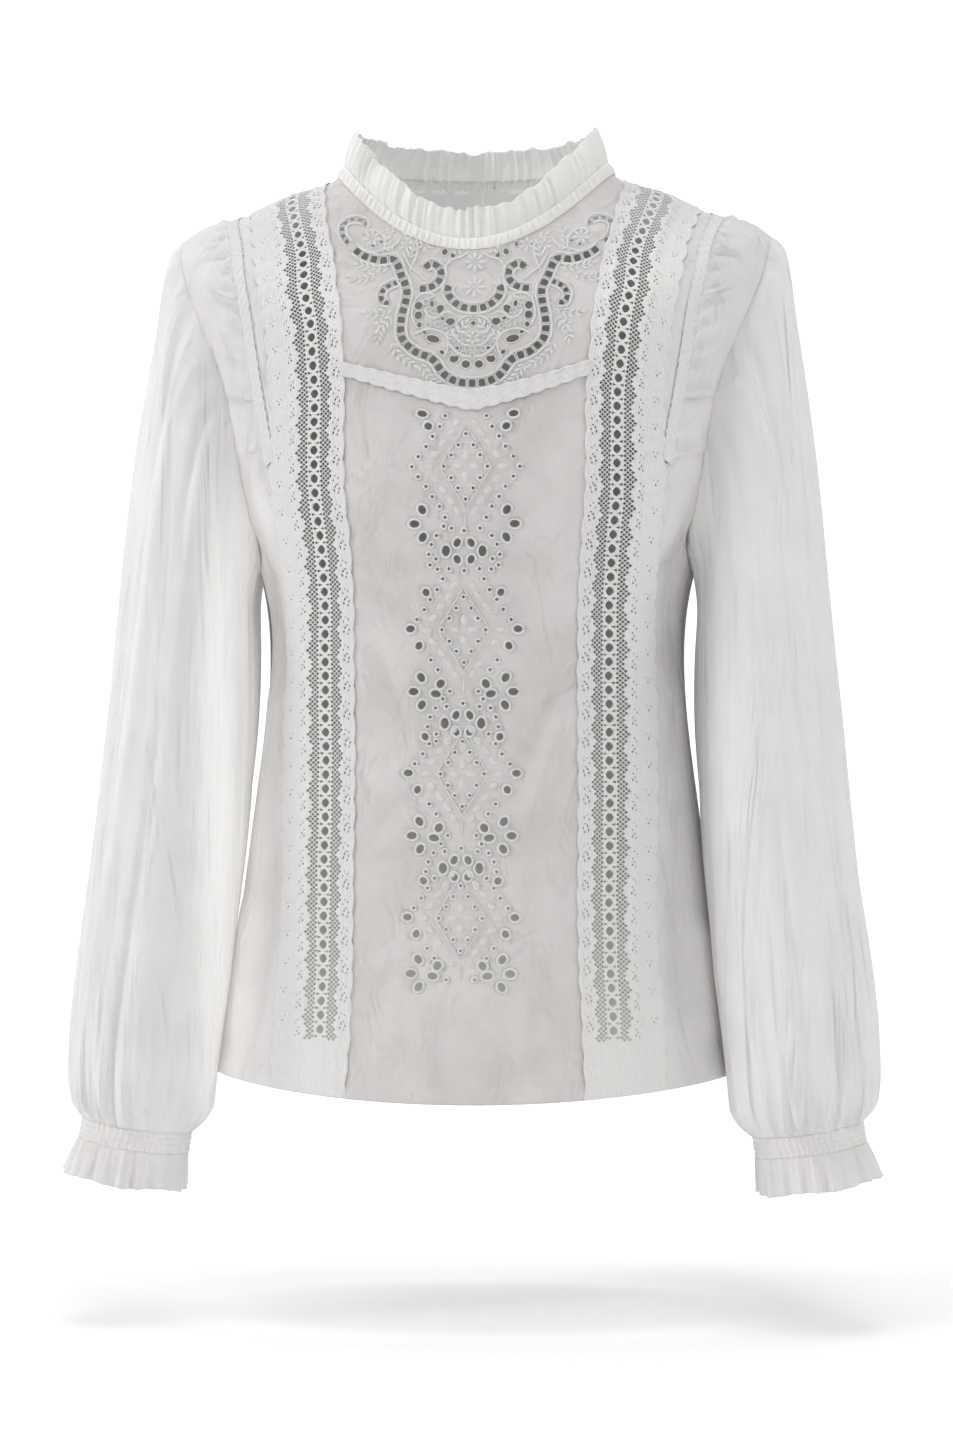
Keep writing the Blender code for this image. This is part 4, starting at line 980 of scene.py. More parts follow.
# Satin petals round a point: x, z, number, distance of each from the point, half length, half width
YOKE_FLOWERS = (
    (0.0, -78.4, 8, 4.6, 2.9, 1.1), (0.0, -61.6, 8, 4.4, 2.8, 1.1), (67.0, -44.2, 7, 3.9, 2.4, 1.0),
    (0.0, -112.2, 6, 3.1, 1.8, 1.1), (32.6, -49.6, 6, 3.2, 2.0, 0.9), (58.4, -103.0, 5, 3.0, 1.9, 0.9),
    (44.2, -49.8, 6, 3.0, 1.9, 0.9), (11.4, -52.6, 5, 2.8, 1.8, 0.9),
)
# Sprigs: a stem through these points, with leaves in pairs
SPRIGS = (
    ((50.4, -114.6), (48.6, -120.4), (43.6, -125.6), (36.8, -129.8)),
    ((33.0, -129.2), (29.6, -133.8), (25.4, -139.0), (20.2, -142.4)),
    ((52.4, -91.6), (57.2, -94.2), (62.6, -95.6), (68.6, -95.0)),
    ((52.0, -98.0), (56.0, -102.4), (59.4, -107.6), (60.6, -113.2)),
    ((55.6, -65.0), (61.6, -65.4), (68.0, -64.4), (75.2, -62.2)),
    ((64.0, -69.6), (69.0, -71.8), (74.4, -72.2), (79.6, -70.6)),
    ((42.2, -58.4), (40.0, -52.6), (40.8, -47.2), (44.8, -43.0)),
    ((54.0, -53.6), (56.6, -48.4), (56.8, -42.8), (54.0, -38.4)),
    ((17.8, -111.6), (12.6, -109.4), (8.2, -106.4), (4.8, -102.0)),
)
LEAF = (2.3, 0.95)
LEAF_PITCH = 3.9
# Plain cords: scrolls that frame the openings
SCROLLS = (
    ((30.6, -87.0), (25.4, -83.6), (30.8, -82.6), (36.4, -85.4), (38.8, -91.6), (38.6, -99.0),
     (36.0, -105.0)),
    ((37.8, -110.4), (30.6, -106.4), (22.8, -106.8), (16.6, -111.0), (15.6, -117.4), (18.8, -125.2)),
    ((12.0, -96.6), (18.0, -95.2), (23.4, -98.8), (28.6, -97.4), (30.8, -92.4)),
    ((0.0, -97.6), (6.0, -98.4), (10.8, -104.2), (7.2, -108.6), (0.0, -107.4)),
    ((0.0, -117.2), (5.8, -116.4), (10.2, -112.4), (14.4, -106.2)),
    ((0.0, -124.0), (6.4, -123.2), (12.2, -119.4), (15.6, -114.6)),
    ((46.2, -54.2), (43.2, -61.4), (39.4, -66.4), (34.4, -70.6), (30.4, -74.4)),
    ((38.0, -46.4), (37.2, -54.2), (39.4, -62.0), (42.0, -68.4)),
    ((60.0, -55.0), (58.2, -48.0), (61.0, -42.0), (66.6, -38.6), (73.2, -41.0)),
    ((48.6, -44.2), (51.4, -49.0), (58.0, -52.0), (66.8, -54.2), (73.6, -51.8), (78.0, -46.4)),
    ((3.0, -53.2), (8.0, -57.6), (15.0, -60.2), (18.6, -66.0), (16.4, -71.8)),
)
# Net in the bowl: rows of small thread rings, as x and z of each
NET_RINGS = (
    (30.4, -88.2), (29.2, -93.6), (25.4, -101.6), (28.2, -103.6), (22.0, -103.6), (0.0, -113.4),
    (5.4, -112.0), (3.2, -118.6), (8.0, -115.6), (13.0, -116.2), (11.2, -121.6), (5.6, -122.4),
    (0.0, -123.6), (25.2, -94.2), (17.6, -104.6), (12.2, -105.6), (16.0, -119.8), (0.0, -97.6),
)
NET_RING = 1.7
# How much larger than the solids' openings the band openings are drawn, along and across
OPENING_GROWTH = (1.0, 1.12)


def band_openings(line, pitch, long, wide, through_middle):
    """Rounded square openings in a row along a band, and the band's line, on both halves."""
    line = np.array(line, float)
    if through_middle:
        line = np.vstack((line, line[-2::-1] * (-1, 1)))
    steps = np.linalg.norm(np.diff(line, axis=0), axis=1)
    places = np.concatenate(([0.0], np.cumsum(steps)))
    path = Spline(places, line)
    count = max(1, int((places[-1] - long) / pitch) + 1)
    start = (places[-1] - (count - 1) * pitch) / 2
    t = 2 * math.pi * (np.arange(12) + 0.5) / 12
    long_drawn, wide_drawn = long * OPENING_GROWTH[0], wide * OPENING_GROWTH[1]
    along = np.sign(np.cos(t)) * np.abs(np.cos(t)) ** 0.4 * long_drawn / 2
    aside = np.sign(np.sin(t)) * np.abs(np.sin(t)) ** 0.4 * wide_drawn / 2
    holes = []
    for i in range(count):
        at = start + i * pitch + along
        ahead = path(at + 0.5) - path(at - 0.5)
        side = np.column_stack((-ahead[:, 1], ahead[:, 0])) / np.linalg.norm(ahead, axis=1)[:, None]
        holes.append(path(at) + side * aside[:, None])
    if not through_middle:
        holes += [hole[::-1] * (-1, 1) for hole in holes]
    return holes, path(run(0.0, places[-1], 1.3))


def offset_line(line, distance):
    """The line moved sideways by this distance."""
    ahead = np.gradient(line, axis=0)
    ahead /= np.linalg.norm(ahead, axis=1)[:, None]
    return line + np.column_stack((-ahead[:, 1], ahead[:, 0])) * distance


def leaves_along(stem):
    """Pairs of small leaves that point forward and out from a stem."""
    line = curve(stem, step=LEAF_PITCH)
    rows = []
    ahead = np.gradient(line, axis=0)
    for i, (spot, way) in enumerate(zip(line, ahead)):
        turn = math.degrees(math.atan2(way[1], way[0]))
        if i == len(line) - 1:
            rows.append((*(spot + way / np.linalg.norm(way) * 1.5), *LEAF, turn))
            continue
        for side in (38, -38):
            angle = math.radians(turn + side)
            reach = np.array((math.cos(angle), math.sin(angle))) * (LEAF[0] + 0.4)
            rows.append((*(spot + reach), *LEAF, turn + side))
    return rows


def on_both(rows):
    """Ovals given from the yoke's centre line, placed on both halves."""
    return [spot for x, z, a, b, turn in rows for spot in both(x, z, a, b, turn, YOKE_SHIFT)]


def front_yoke():
    """The yoke's panel, and its embroidery."""
    under = -(INSERT_INNER - 5.0)
    seam_at = insert_place(yoke_edge(YOKE_HALF)[0][1], under)
    side = insert_edge(under, seam_at, INSERT.length, 5.0)
    edge_x = float(body_point(side[:1])[0][0])
    above = yoke_edge(run(-edge_x, edge_x, 4.0), GAP / 2)
    top = math.pi / 2 - SEAM_ANGLE
    neck_turn = run(top * CHART, -top * CHART, 3.0) / CHART
    neck = np.column_stack((neck_turn, np.full(len(neck_turn), UP_NECK + 1.0)))
    shoulder_up = run(side[-1][1], UP_NECK + 1.0, 5.0)[1:-1]
    shoulder = np.column_stack((np.full(len(shoulder_up), top), shoulder_up))
    outline = np.vstack((above[1:-1], side, shoulder, neck, mirror_line(shoulder), mirror_line(side)))
    outlines, bands = [], []
    for line, pitch, long, wide, through_middle in CUTWORK:
        holes, path = band_openings(line, pitch, long, wide, through_middle)
        outlines += [hole + (YOKE_SHIFT, 0) for hole in holes]
        for distance in (wide / 2 + 1.35, -wide / 2 - 1.35):
            cord = offset_line(path, distance)
            bands.append(cord + (YOKE_SHIFT, 0))
            if not through_middle:
                bands.append(cord * (-1, 1) + (YOKE_SHIFT, 0))
    singles = [oval(*row) for row in on_both(YOKE_SINGLES)]
    every = outlines + singles
    holes = [locate(spots[:, 0], spots[:, 1]) for spots in every]
    panel = shell("front_yoke_cloth", *fill(outline, holes, 3.2), "lawn", slot="lace")
    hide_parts("front_yoke")
    rims("yoke_opening_rims", every, grow=0.6, kind="rim")
    ridges("yoke_band_cords", bands, 1.5, 1.0, "rim")
    scrolls = []
    for points in SCROLLS:
        line = curve(points, step=1.3)
        scrolls += [line + (YOKE_SHIFT, 0), line * (-1, 1) + (YOKE_SHIFT, 0)]
    ridges("yoke_scrolls", scrolls, 1.5, 0.95, "rim")
    leaves, stems = [], []
    for points in SPRIGS:
        leaves += leaves_along(points)
        line = curve(points, step=1.3)
        stems += [line + (YOKE_SHIFT, 0), line * (-1, 1) + (YOKE_SHIFT, 0)]
    ridges("yoke_stems", stems, 0.8, 0.6, "rim")
    for x, z, number, out, a, b in YOKE_FLOWERS:
        for i in range(number):
            turn = 90 + 360 * i / number
            away = math.radians(turn)
            leaves.append((x + out * math.cos(away), z + out * math.sin(away), a, b, turn))
    rows = [row for x, z, a, b, turn in leaves for row in
            ([(YOKE_SHIFT + x, z, a, b, turn)] if abs(x) < 7 and is_central(x, z) else
             both(x, z, a, b, turn, YOKE_SHIFT))]
    pads("yoke_satin", rows, 1.0, "rim")
    rings = [oval(*row, sides=8) for row in on_both([(x, z, NET_RING, NET_RING, 0) for x, z in NET_RINGS])]
    rims("yoke_net_rings", rings, grow=0.7)


def is_central(x, z):
    """Whether a petal belongs to a flower on the yoke's own centre line."""
    return any(fx == 0 and math.hypot(x - fx, z - fz) < 6 for fx, fz, *_ in YOKE_FLOWERS)


TRIM_UP = (6.0, 4.0)
TRIM_DOWN = (6.0, 4.0)
TRIM_SCALLOP = 9.4
TRIM_SCALLOP_DEPTH = 1.3


def yoke_trim():
    """Scalloped lace over the yoke's lower seam, with a raised cord and a leaf in each scallop."""
    edge = float(body_point(INSERT.at(insert_place(yoke_edge(YOKE_HALF)[0][1], -21.0), -21.0))[0][0])
    xs = run(edge, -edge, 0.9)
    shares = np.linspace(0.0, 1.0, 15)
    rings = []
    for share in shares:
        middle = 1 - np.abs(xs - YOKE_SHIFT) / YOKE_HALF
        up = TRIM_UP[1] + (TRIM_UP[0] - TRIM_UP[1]) * middle
        down = TRIM_DOWN[1] + (TRIM_DOWN[0] - TRIM_DOWN[1]) * middle
        down = down + TRIM_SCALLOP_DEPTH * np.abs(np.cos(math.pi * xs / TRIM_SCALLOP))
        up = up + 0.8 * np.abs(np.cos(math.pi * xs / TRIM_SCALLOP + 0.6))
        flat = np.vstack([yoke_edge(x, o) for x, o in zip(xs, up - (up + down) * share)])
        base, normal = body_point(flat), body_normal(flat)
        phase = 2 * math.pi * xs / TRIM_SCALLOP
        figure = 0.32 * np.sin(phase + 9 * share) * np.sin(math.pi * share * 3)
        edge_cord = 0.5 * (np.exp(-((share - 0.05) / 0.05) ** 2) + np.exp(-((share - 0.95) / 0.06) ** 2))
        teeth = 0.18 * np.sin(2 * math.pi * xs / 1.9) * (0.3 + share)
        rise = crease_depth(base) + 1.5 + figure + edge_cord + teeth
        rings.append(base + normal * rise[:, None])
    points, faces, uv = ring_tube(rings, closed=False, thick=0.5)
    trim = add_mesh("yoke_trim_lace", points, faces, "lace", uv, "lace")
    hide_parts("yoke_trim")


# Lace insertions

LADDER_OPENINGS = 70
LADDER_END = 6.0
TILES = 35
SHUT_TILES = 2
NET_COLUMN = 1.75
NET_ROWS = 6
NET_OPEN = 0.78
LACE_INNER = 22.4
LACE_OUTER = 33.6
LACE_SCALLOP = 1.3


# Small openings in the dense bands: across, share of the repeat, half width, half height
FLOWER_HOLES = (
    (-15.4, 0.40, 0.75, 1.0), (-16.2, 0.54, 0.7, 0.9), (-18.4, 0.33, 0.6, 0.8), (-19.4, 0.47, 0.6, 0.9),
    (-17.8, 0.62, 0.8, 0.6), (-15.0, 0.76, 0.6, 0.7), (-18.8, 0.84, 0.7, 0.6), (-16.6, 0.92, 0.5, 0.6),
    (15.2, 0.14, 0.7, 0.9), (16.8, 0.24, 0.6, 0.8), (15.6, 0.36, 0.6, 0.6), (17.6, 0.08, 0.5, 0.7),
    (16.4, 0.62, 0.5, 0.7), (18.2, 0.52, 0.5, 0.5), (27.2, 0.60, 0.6, 0.7), (29.0, 0.72, 0.5, 0.6),
    (25.8, 0.76, 0.5, 0.5),
)


def lace_tile(length):
    """One repeat of the lace, flat, open and shut: points as (across, along) and faces of each."""
    pitch = length / 2
    step = length / NET_ROWS

    def edge(side, b):
        swing = LACE_SCALLOP * np.abs(np.cos(math.pi * b / length))
        return (LACE_OUTER + 2.2 * swing) if side > 0 else -(LACE_INNER + swing)

    columns = [5.6 + NET_COLUMN * k for k in range(5)]
    low = [(0.0, 0.0), (1.5, 0.0), (3.4, 0.0)]
    low += [(a, 0.0 if k % 2 == 0 else -step / 2) for k, a in enumerate(columns)]
    rest_out = np.linspace(columns[-1] + NET_COLUMN, edge(1, 0.0), 17)
    rest_in = np.linspace(columns[-1] + NET_COLUMN, -edge(-1, 0.0), 10)
    right = low + [(a, 0.0) for a in rest_out]
    left = [(-a, b) for a, b in low[1:]] + [(-a, 0.0) for a in rest_in]
    bottom = np.array(left[::-1] + right)
    sides = np.linspace(0.0, length, 15)[1:-1]
    right_edge = np.column_stack((edge(1, sides), sides))
    left_edge = np.column_stack((edge(-1, sides), sides))
    outline = np.vstack((bottom, right_edge, bottom[::-1] + (0, length), left_edge[::-1]))

    holes = []
    t = 2 * math.pi * (np.arange(10) + 0.5) / 10
    first = 3.1
    for centre in (length - first, pitch - first):
        bent = np.column_stack((np.cos(t), np.sin(t)))
        bent = np.sign(bent) * np.abs(bent) ** 1.25 * (2.85, 2.95)
        holes.append(bent + (0, centre))
        for side in (1, -1):
            middle = centre - pitch / 2
            holes.append(np.array(((side * 1.2, middle), (side * 3.9, middle + 1.0),
                                   (side * 3.9, middle - 1.0))))
    for side in (1, -1):
        for k, a in enumerate(columns):
            for row in range(NET_ROWS):
                b = (row + (0.5 if k % 2 == 0 else 0.0)) * step
                wave = abs(((b / length + 0.25 * (side > 0)) % 1.0) * 2 - 1)
                if a > 10.2 + 2.9 * wave:
                    continue
                half_a, half_b = NET_OPEN * NET_COLUMN, NET_OPEN * step / 2
                holes.append(np.array(((side * a - half_a, b), (side * a, b + half_b),
                                       (side * a + half_a, b), (side * a, b - half_b))))
    # Small openings of the flowers in the dense bands
    for a, b, wide, high in FLOWER_HOLES:
        holes.append(np.column_stack((a + wide * np.cos(t[::2]), b * length + high * np.sin(t[::2]))))
    scale = np.array((1 / CHART, 1.0))
    made = []
    for cut in (holes, []):
        flat, faces = fill(outline * scale, [hole * scale for hole in cut], 1.35)
        made += [flat * (CHART, 1.0), faces]
    return made


def lace_relief(spots, length):
    """Height of the lace's cords and flowers over its ground."""
    a, b = spots[:, 0], spots[:, 1]
    turn = 2 * math.pi * b / length
    zig_in = np.abs(((b / length) % 1.0) * 2 - 1)
    zig_out = np.abs(((b / length + 0.25) % 1.0) * 2 - 1)
    zig = np.where(a < 0, 12.2 + 2.4 * zig_in, 12.2 + 2.4 * zig_out)
    cord = 0.6 * np.exp(-((np.abs(a) - zig) / 0.9) ** 2)
    bars = 0.35 * np.exp(-((np.abs(a) - 4.1) / 0.6) ** 2)
    edge_at = np.where(a < 0, LACE_INNER, LACE_OUTER + 1.2) + LACE_SCALLOP * np.abs(np.cos(turn / 2))
    edge = 0.6 * np.exp(-((np.abs(a) - edge_at + 0.8) / 0.9) ** 2)
    petals = 0.42 * np.sin(turn * 2 + a * 0.9) * np.sin(a * 0.95 + 1.4 * np.sin(turn))
    dense = np.clip((np.abs(a) - zig) / 3.0, 0, 1)
    seam = -0.35 * (np.exp(-((a - 20.2) / 0.5) ** 2) + np.exp(-((a - 22.0) / 0.5) ** 2))
    return cord + bars + edge + petals * dense + seam


def lace_insert(side):
    """One insertion lace: repeats of the lace tile along it, the lowest ones shut."""
    mirror = side == "left"
    start = LADDER_END - (INSERT.length - 2 * LADDER_END) / (LADDER_OPENINGS - 1) / 2
    length = (INSERT.length - 2 * start) / TILES
    spots, tile, end_spots, end_tile = lace_tile(length)
    shift = 3.1 - length / 4
    shut = [end_spots + (0, i * length) for i in range(SHUT_TILES)]
    every = np.vstack(shut + [spots + (0, i * length) for i in range(SHUT_TILES, TILES)])
    faces = [end_tile + i * len(end_spots) for i in range(SHUT_TILES)]
    above = SHUT_TILES * len(end_spots)
    faces = np.vstack(faces + [tile + above + i * len(spots) for i in range(TILES - SHUT_TILES)])
    _, first, index = np.unique(np.round(every, 3), axis=0, return_index=True, return_inverse=True)
    faces = index.ravel()[faces]
    every = every[first]
    along = start + every[:, 1] + shift
    along = np.where(every[:, 1] < 0.02, 0.0, along)
    along = np.where(every[:, 1] > length * TILES - 0.02, INSERT.length, along)
    wander = 0.35 * np.sin(every[:, 1] / 23.0 + (2.0 if mirror else 0.0)) + 0.2 * np.sin(every[:, 1] / 7.3)
    flat = INSERT.at(np.clip(along, 0.0, INSERT.length), every[:, 0] + wander)

    def relief(_):
        return lace_relief(every, length)

    lace = shell(f"lace_insert_{side}_cloth", flat, faces, "lace", "lace", LACE_LIFT, mirror, relief, 0.55)
    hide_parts(f"lace_insert_{side}")


# Side fronts, wedges, narrow lace

def narrow_line(offset):
    """The narrow lace's line, moved this far outward, from the shoulder seam down."""
    top = [(math.pi / 2 - SEAM_ANGLE, on_shoulder(NARROW_LACE[0][0] + offset))]
    x, z = np.array(NARROW_LACE[1:], float).T
    return np.vstack((top, locate(x + offset, z)))


def densely(line, step):
    """More points on a line of body places, on a smooth curve."""
    steps = np.linalg.norm(np.diff(body_point(line), axis=0), axis=1)
    places = np.concatenate(([0.0], np.cumsum(steps)))
    return Spline(places, line)(run(0.0, places[-1], step))


def beyond_insert(line, across=INSERT_OUTER):
    """How far outside the insertion each body place lies, in mm on the chart."""
    edge = np.vstack([INSERT.at(insert_place(up, across), across) for up in line[:, 1]])
    return (line[:, 0] - edge[:, 0]) * CHART


def armhole(turns, front=True):
    """Body places round the armhole: -90 degrees at the armpit, 90 at the shoulder tip."""
    turns = np.radians(np.atleast_1d(turns))
    width = math.radians(ARMHOLE_FRONT if front else ARMHOLE_BACK)
    angle = math.pi / 2 - width * np.abs(np.cos(turns)) ** ARMHOLE_POWER * (1 if front else -1)
    middle, half = (UP_ARMPIT + UP_TIP) / 2, (UP_TIP - UP_ARMPIT) / 2
    return np.column_stack((angle, middle + half * np.sin(turns)))


# Gathers beside the narrow lace: number, reach, depth, and how far from the seam they start
PUCKERS = 17
PUCKER_REACH = 34.0
PUCKER_DEPTH = 4.6
PUCKER_START = 2.2


def pucker_relief(line, reach=PUCKER_REACH, number=PUCKERS, depth=PUCKER_DEPTH):
    """Small gathers that run out from a seam and fade, uneven in length and depth."""
    places = line * (CHART, 1.0)

    def relief(flat):
        spots = flat * (CHART, 1.0)
        total = np.zeros(len(spots))
        for i in range(0, len(spots), 2000):
            gaps = np.linalg.norm(spots[i:i + 2000, None] - places[None], axis=2)
            near = gaps.argmin(axis=1)
            phase = near / len(places) * number * 2 * math.pi
            length = reach * (0.65 + 0.35 * np.sin(phase * 0.37 + 1.0))
            fade = np.clip(1 - gaps.min(axis=1) / length, 0, 1) ** 0.9
            clear = np.clip((gaps.min(axis=1) - PUCKER_START) / 3.5, 0, 1)
            size = 0.6 + 0.4 * np.sin(phase * 0.61 + 0.4)
            total[i:i + 2000] = depth * size * fade * clear * np.sin(phase + 0.6 * np.sin(phase * 0.23))
        return total
    return relief


def side_pieces(side):
    """One side front panel, the wedge beside it and the narrow lace between them."""
    mirror = side == "left"
    under = INSERT_OUTER - 8.0
    outer_line = densely(narrow_line(NARROW_HALF - 1.5), 1.5)
    outer_line = outer_line[beyond_insert(outer_line, under) > 1.0]
    seam_angle = math.pi / 2 - SEAM_ANGLE
    start = INSERT.at(0.0, under)[0][0]
    hem_turn = run(start * CHART, seam_angle * CHART, 4.0) / CHART
    hem = np.column_stack((hem_turn, np.zeros(len(hem_turn))))
    seam_up = run(0.0, UP_ARMPIT, 5.0)
    seam = np.column_stack((np.full(len(seam_up), seam_angle), seam_up))
    hole = armhole(np.linspace(-90, 90, 61))
    hole[:, 0] = np.minimum(hole[:, 0], seam_angle)
    shoulder_up = run(UP_TIP, outer_line[0][1], 4.0)
    shoulder = np.column_stack((np.full(len(shoulder_up), seam_angle), shoulder_up))
    down = insert_edge(under, insert_place(outer_line[-1][1] - 1.5, under), 0.0, 5.0)
    outline = np.vstack((hem[:-1], seam[:-1], hole[:-1], shoulder[:-1], outer_line, down[:-1]))
    gathers = pucker_relief(outer_line)

    def relief(flat):
        return hem_relief(flat) + gathers(flat)

    flat, faces = fill(outline, [], SIDE_SPACING, HEM_ROWS)
    panel = shell(f"front_side_{side}_cloth", flat, faces, "side", mirror=mirror, relief=relief)
    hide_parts(f"front_side_{side}")

    clear_line = densely(narrow_line(-NARROW_HALF + 1.5), 3.0)
    clear_line = clear_line[beyond_insert(clear_line, under) > 1.0]
    tip_at = insert_place(clear_line[-1][1], under)
    outline = np.vstack((insert_edge(under, tip_at, INSERT.length, 4.0), clear_line))
    wedge = shell(f"front_wedge_{side}_cloth", *fill(outline, [], FRONT_SPACING), "side", mirror=mirror)
    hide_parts(f"front_wedge_{side}")

    narrow_lace(side, mirror)


NARROW_REPEAT = 6.6


def narrow_lace(side, mirror):
    """Narrow lace with scalloped edges and a raised figure, over the seam."""
    middle = densely(narrow_line(0.0), 0.75)
    middle = middle[beyond_insert(middle) > -3.0]
    inner = densely(narrow_line(-1.0), 0.75)[:len(middle)]
    steps = np.linalg.norm(np.diff(body_point(middle), axis=0), axis=1)
    along = np.concatenate(([0.0], np.cumsum(steps)))
    unit = (middle - inner)[:, None]
    phase = math.pi * along / NARROW_REPEAT
    half = NARROW_HALF + 0.5 + 0.5 * np.abs(np.cos(phase))
    shares = np.linspace(-1.0, 1.0, 11)
    flat = middle[:, None] + unit * (shares[None, :, None] * half[:, None, None])
    flat[..., 0] = np.minimum(flat[..., 0], math.pi / 2 - SEAM_ANGLE)
    rows, count = flat.shape[:2]
    i, j = np.meshgrid(np.arange(rows - 1), np.arange(count - 1), indexing="ij")
    a = (i * count + j).ravel()
    quads = np.column_stack((a, a + count, a + count + 1, a + 1))
    faces = np.vstack((quads[:, (0, 1, 2)], quads[:, (0, 2, 3)]))
    spots = flat.reshape(-1, 2)
    figure = (0.35 * np.cos(2 * phase)[:, None] * np.cos(math.pi * shares)[None, :]
              + 0.3 * (np.abs(shares) > 0.85)[None, :]
              + 0.25 * np.sin(5 * phase)[:, None] * np.sin(2.5 * math.pi * shares)[None, :]).ravel()
    lace = shell(f"armhole_lace_{side}_cloth", spots, faces, "lace", "lace", 0.55, mirror,
                 lambda _: figure, 0.45)
    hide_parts(f"armhole_lace_{side}")


def back_panel():
    """The back, with its slit, its turned hem and an inner face with painted shade."""
    seam_angle = math.pi / 2 + SEAM_ANGLE
    seam_up = run(0.0, UP_ARMPIT, 6.0)
    seam = np.column_stack((np.full(len(seam_up), seam_angle), seam_up))
    hole = armhole(np.linspace(-90, 90, 61), front=False)
    hole[:, 0] = np.maximum(hole[:, 0], seam_angle)
    shoulder_up = run(UP_TIP, UP_NECK, 4.0)
    shoulder = np.column_stack((np.full(len(shoulder_up), seam_angle), shoulder_up))
    slit_angle = math.pi - SLIT_HALF / BODY_ROWS[ROW_NECK][5]
    neck_turn = run(seam_angle * CHART, slit_angle * CHART, 4.0) / CHART
    neck = np.column_stack((neck_turn, np.full(len(neck_turn), UP_NECK + 0.6)))
    shares = np.linspace(0.06, 0.97, 14)
    slit = np.column_stack((np.full(len(shares), slit_angle), UP_NECK - SLIT_LENGTH * shares))
    right = np.vstack((seam[:-1], hole[:-1], shoulder[:-1], neck, slit))
    foot = np.array([(math.pi, UP_NECK - SLIT_LENGTH)])
    left = right[::-1] * (-1, 1) + (2 * math.pi, 0)
    hem_turn = run((2 * math.pi - seam_angle) * CHART, seam_angle * CHART, 5.0)[1:-1] / CHART
    hem = np.column_stack((hem_turn, np.zeros(len(hem_turn))))
    outline = np.vstack((right, foot, left, hem))

    def relief(flat):
        from_slit = np.abs(flat[:, 0] - math.pi) * 62
        beside = flat[:, 1] > UP_NECK - SLIT_LENGTH - 6
        facing = 0.5 / (1 + np.exp(np.minimum((from_slit - 7.0) * 2, 50))) * beside
        near_neck = np.clip(1 - (UP_NECK - flat[:, 1]) / 26.0, 0, 1) ** 1.4
        gathers = 0.9 * near_neck * np.sin(flat[:, 0] * 34 + 0.7 * np.sin(flat[:, 0] * 9))
        return hem_relief(flat) + facing + gathers * (from_slit > 8)

    flat, faces = fill(outline, [], BACK_SPACING, HEM_ROWS)
    panel = shell("back_cloth", flat, faces, "side", relief=relief)
    # The inner face's material has painted shade low down and a painted glow near the neck
    panel.data.materials.append(MATERIALS["inner"])
    shares = np.zeros(len(panel.data.polygons), np.int32)
    shares[len(faces):2 * len(faces)] = 1
    panel.data.polygons.foreach_set("material_index", shares)
    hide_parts("back")


# Sleeves and cuffs

# Points round and rings along each tube or strip
SLEEVE_COUNT = 200
SLEEVE_STEPS = 120
CUFF_COUNT = 440
CUFF_STEPS = 20
BINDING_COUNT = 1100
BINDING_STEPS = 13
COLLAR_COUNT = 1400
COLLAR_STEPS = 20
# How far the sleeve's first ring lies off the body's surface, and how far it is tucked in
SEAM_LIFT = -0.4
TUCK_DEPTH = 2.2
SLEEVE_CREASE_SCALE = 1.8
# How far the lower sleeve reaches towards the body
NEAR_BODY = 8.0
# Soft folds that run down the sleeve: turn in degrees (0 front, 90 outer), places along it, depth, width
SLEEVE_CREASES = (
    (-20, 0.6, 6.2, -3.4, 13), (24, 1.6, 8.4, 2.4, 12), (52, 2.4, 9.6, -3.0, 12), (78, 0.8, 5.6, 2.2, 11),
    (4, 4.8, 10.4, -2.6, 9), (-44, 2.2, 8.8, 2.0, 11), (112, 1.8, 9.2, -2.8, 13), (150, 0.8, 6.8, 2.4, 14),
    (186, 2.4, 9.6, -3.0, 13), (222, 1.2, 7.6, 2.2, 13), (256, 3.0, 9.8, -1.8, 12), (36, 6.4, 10.6, 1.9, 8),
    (66, 6.8, 10.7, -1.8, 7), (-32, 6.2, 10.6, -2.0, 8), (14, 7.4, 10.8, 1.8, 6), (130, 6.0, 10.6, 2.0, 9),
    (170, 6.4, 10.7, -2.0, 9), (206, 6.8, 10.7, 1.9, 9), (92, 7.2, 10.8, 1.7, 7),
)
# Short folds below the shoulder seam
CAP_CREASES = (
    (-50, 0.1, 3.0, -1.8, 6), (-28, 0.1, 2.4, 1.5, 5), (-6, 0.1, 3.4, -2.0, 6), (12, 0.1, 2.2, 1.4, 5),
    (30, 0.1, 3.8, -2.2, 6), (50, 0.1, 2.6, 1.8, 6), (70, 0.1, 3.2, -1.6, 6), (90, 0.1, 2.0, 1.3, 6),
    (112, 0.1, 3.2, -1.8, 7), (136, 0.1, 2.6, 1.6, 7), (160, 0.1, 3.2, -1.9, 7), (186, 0.1, 2.4, 1.4, 7),
)


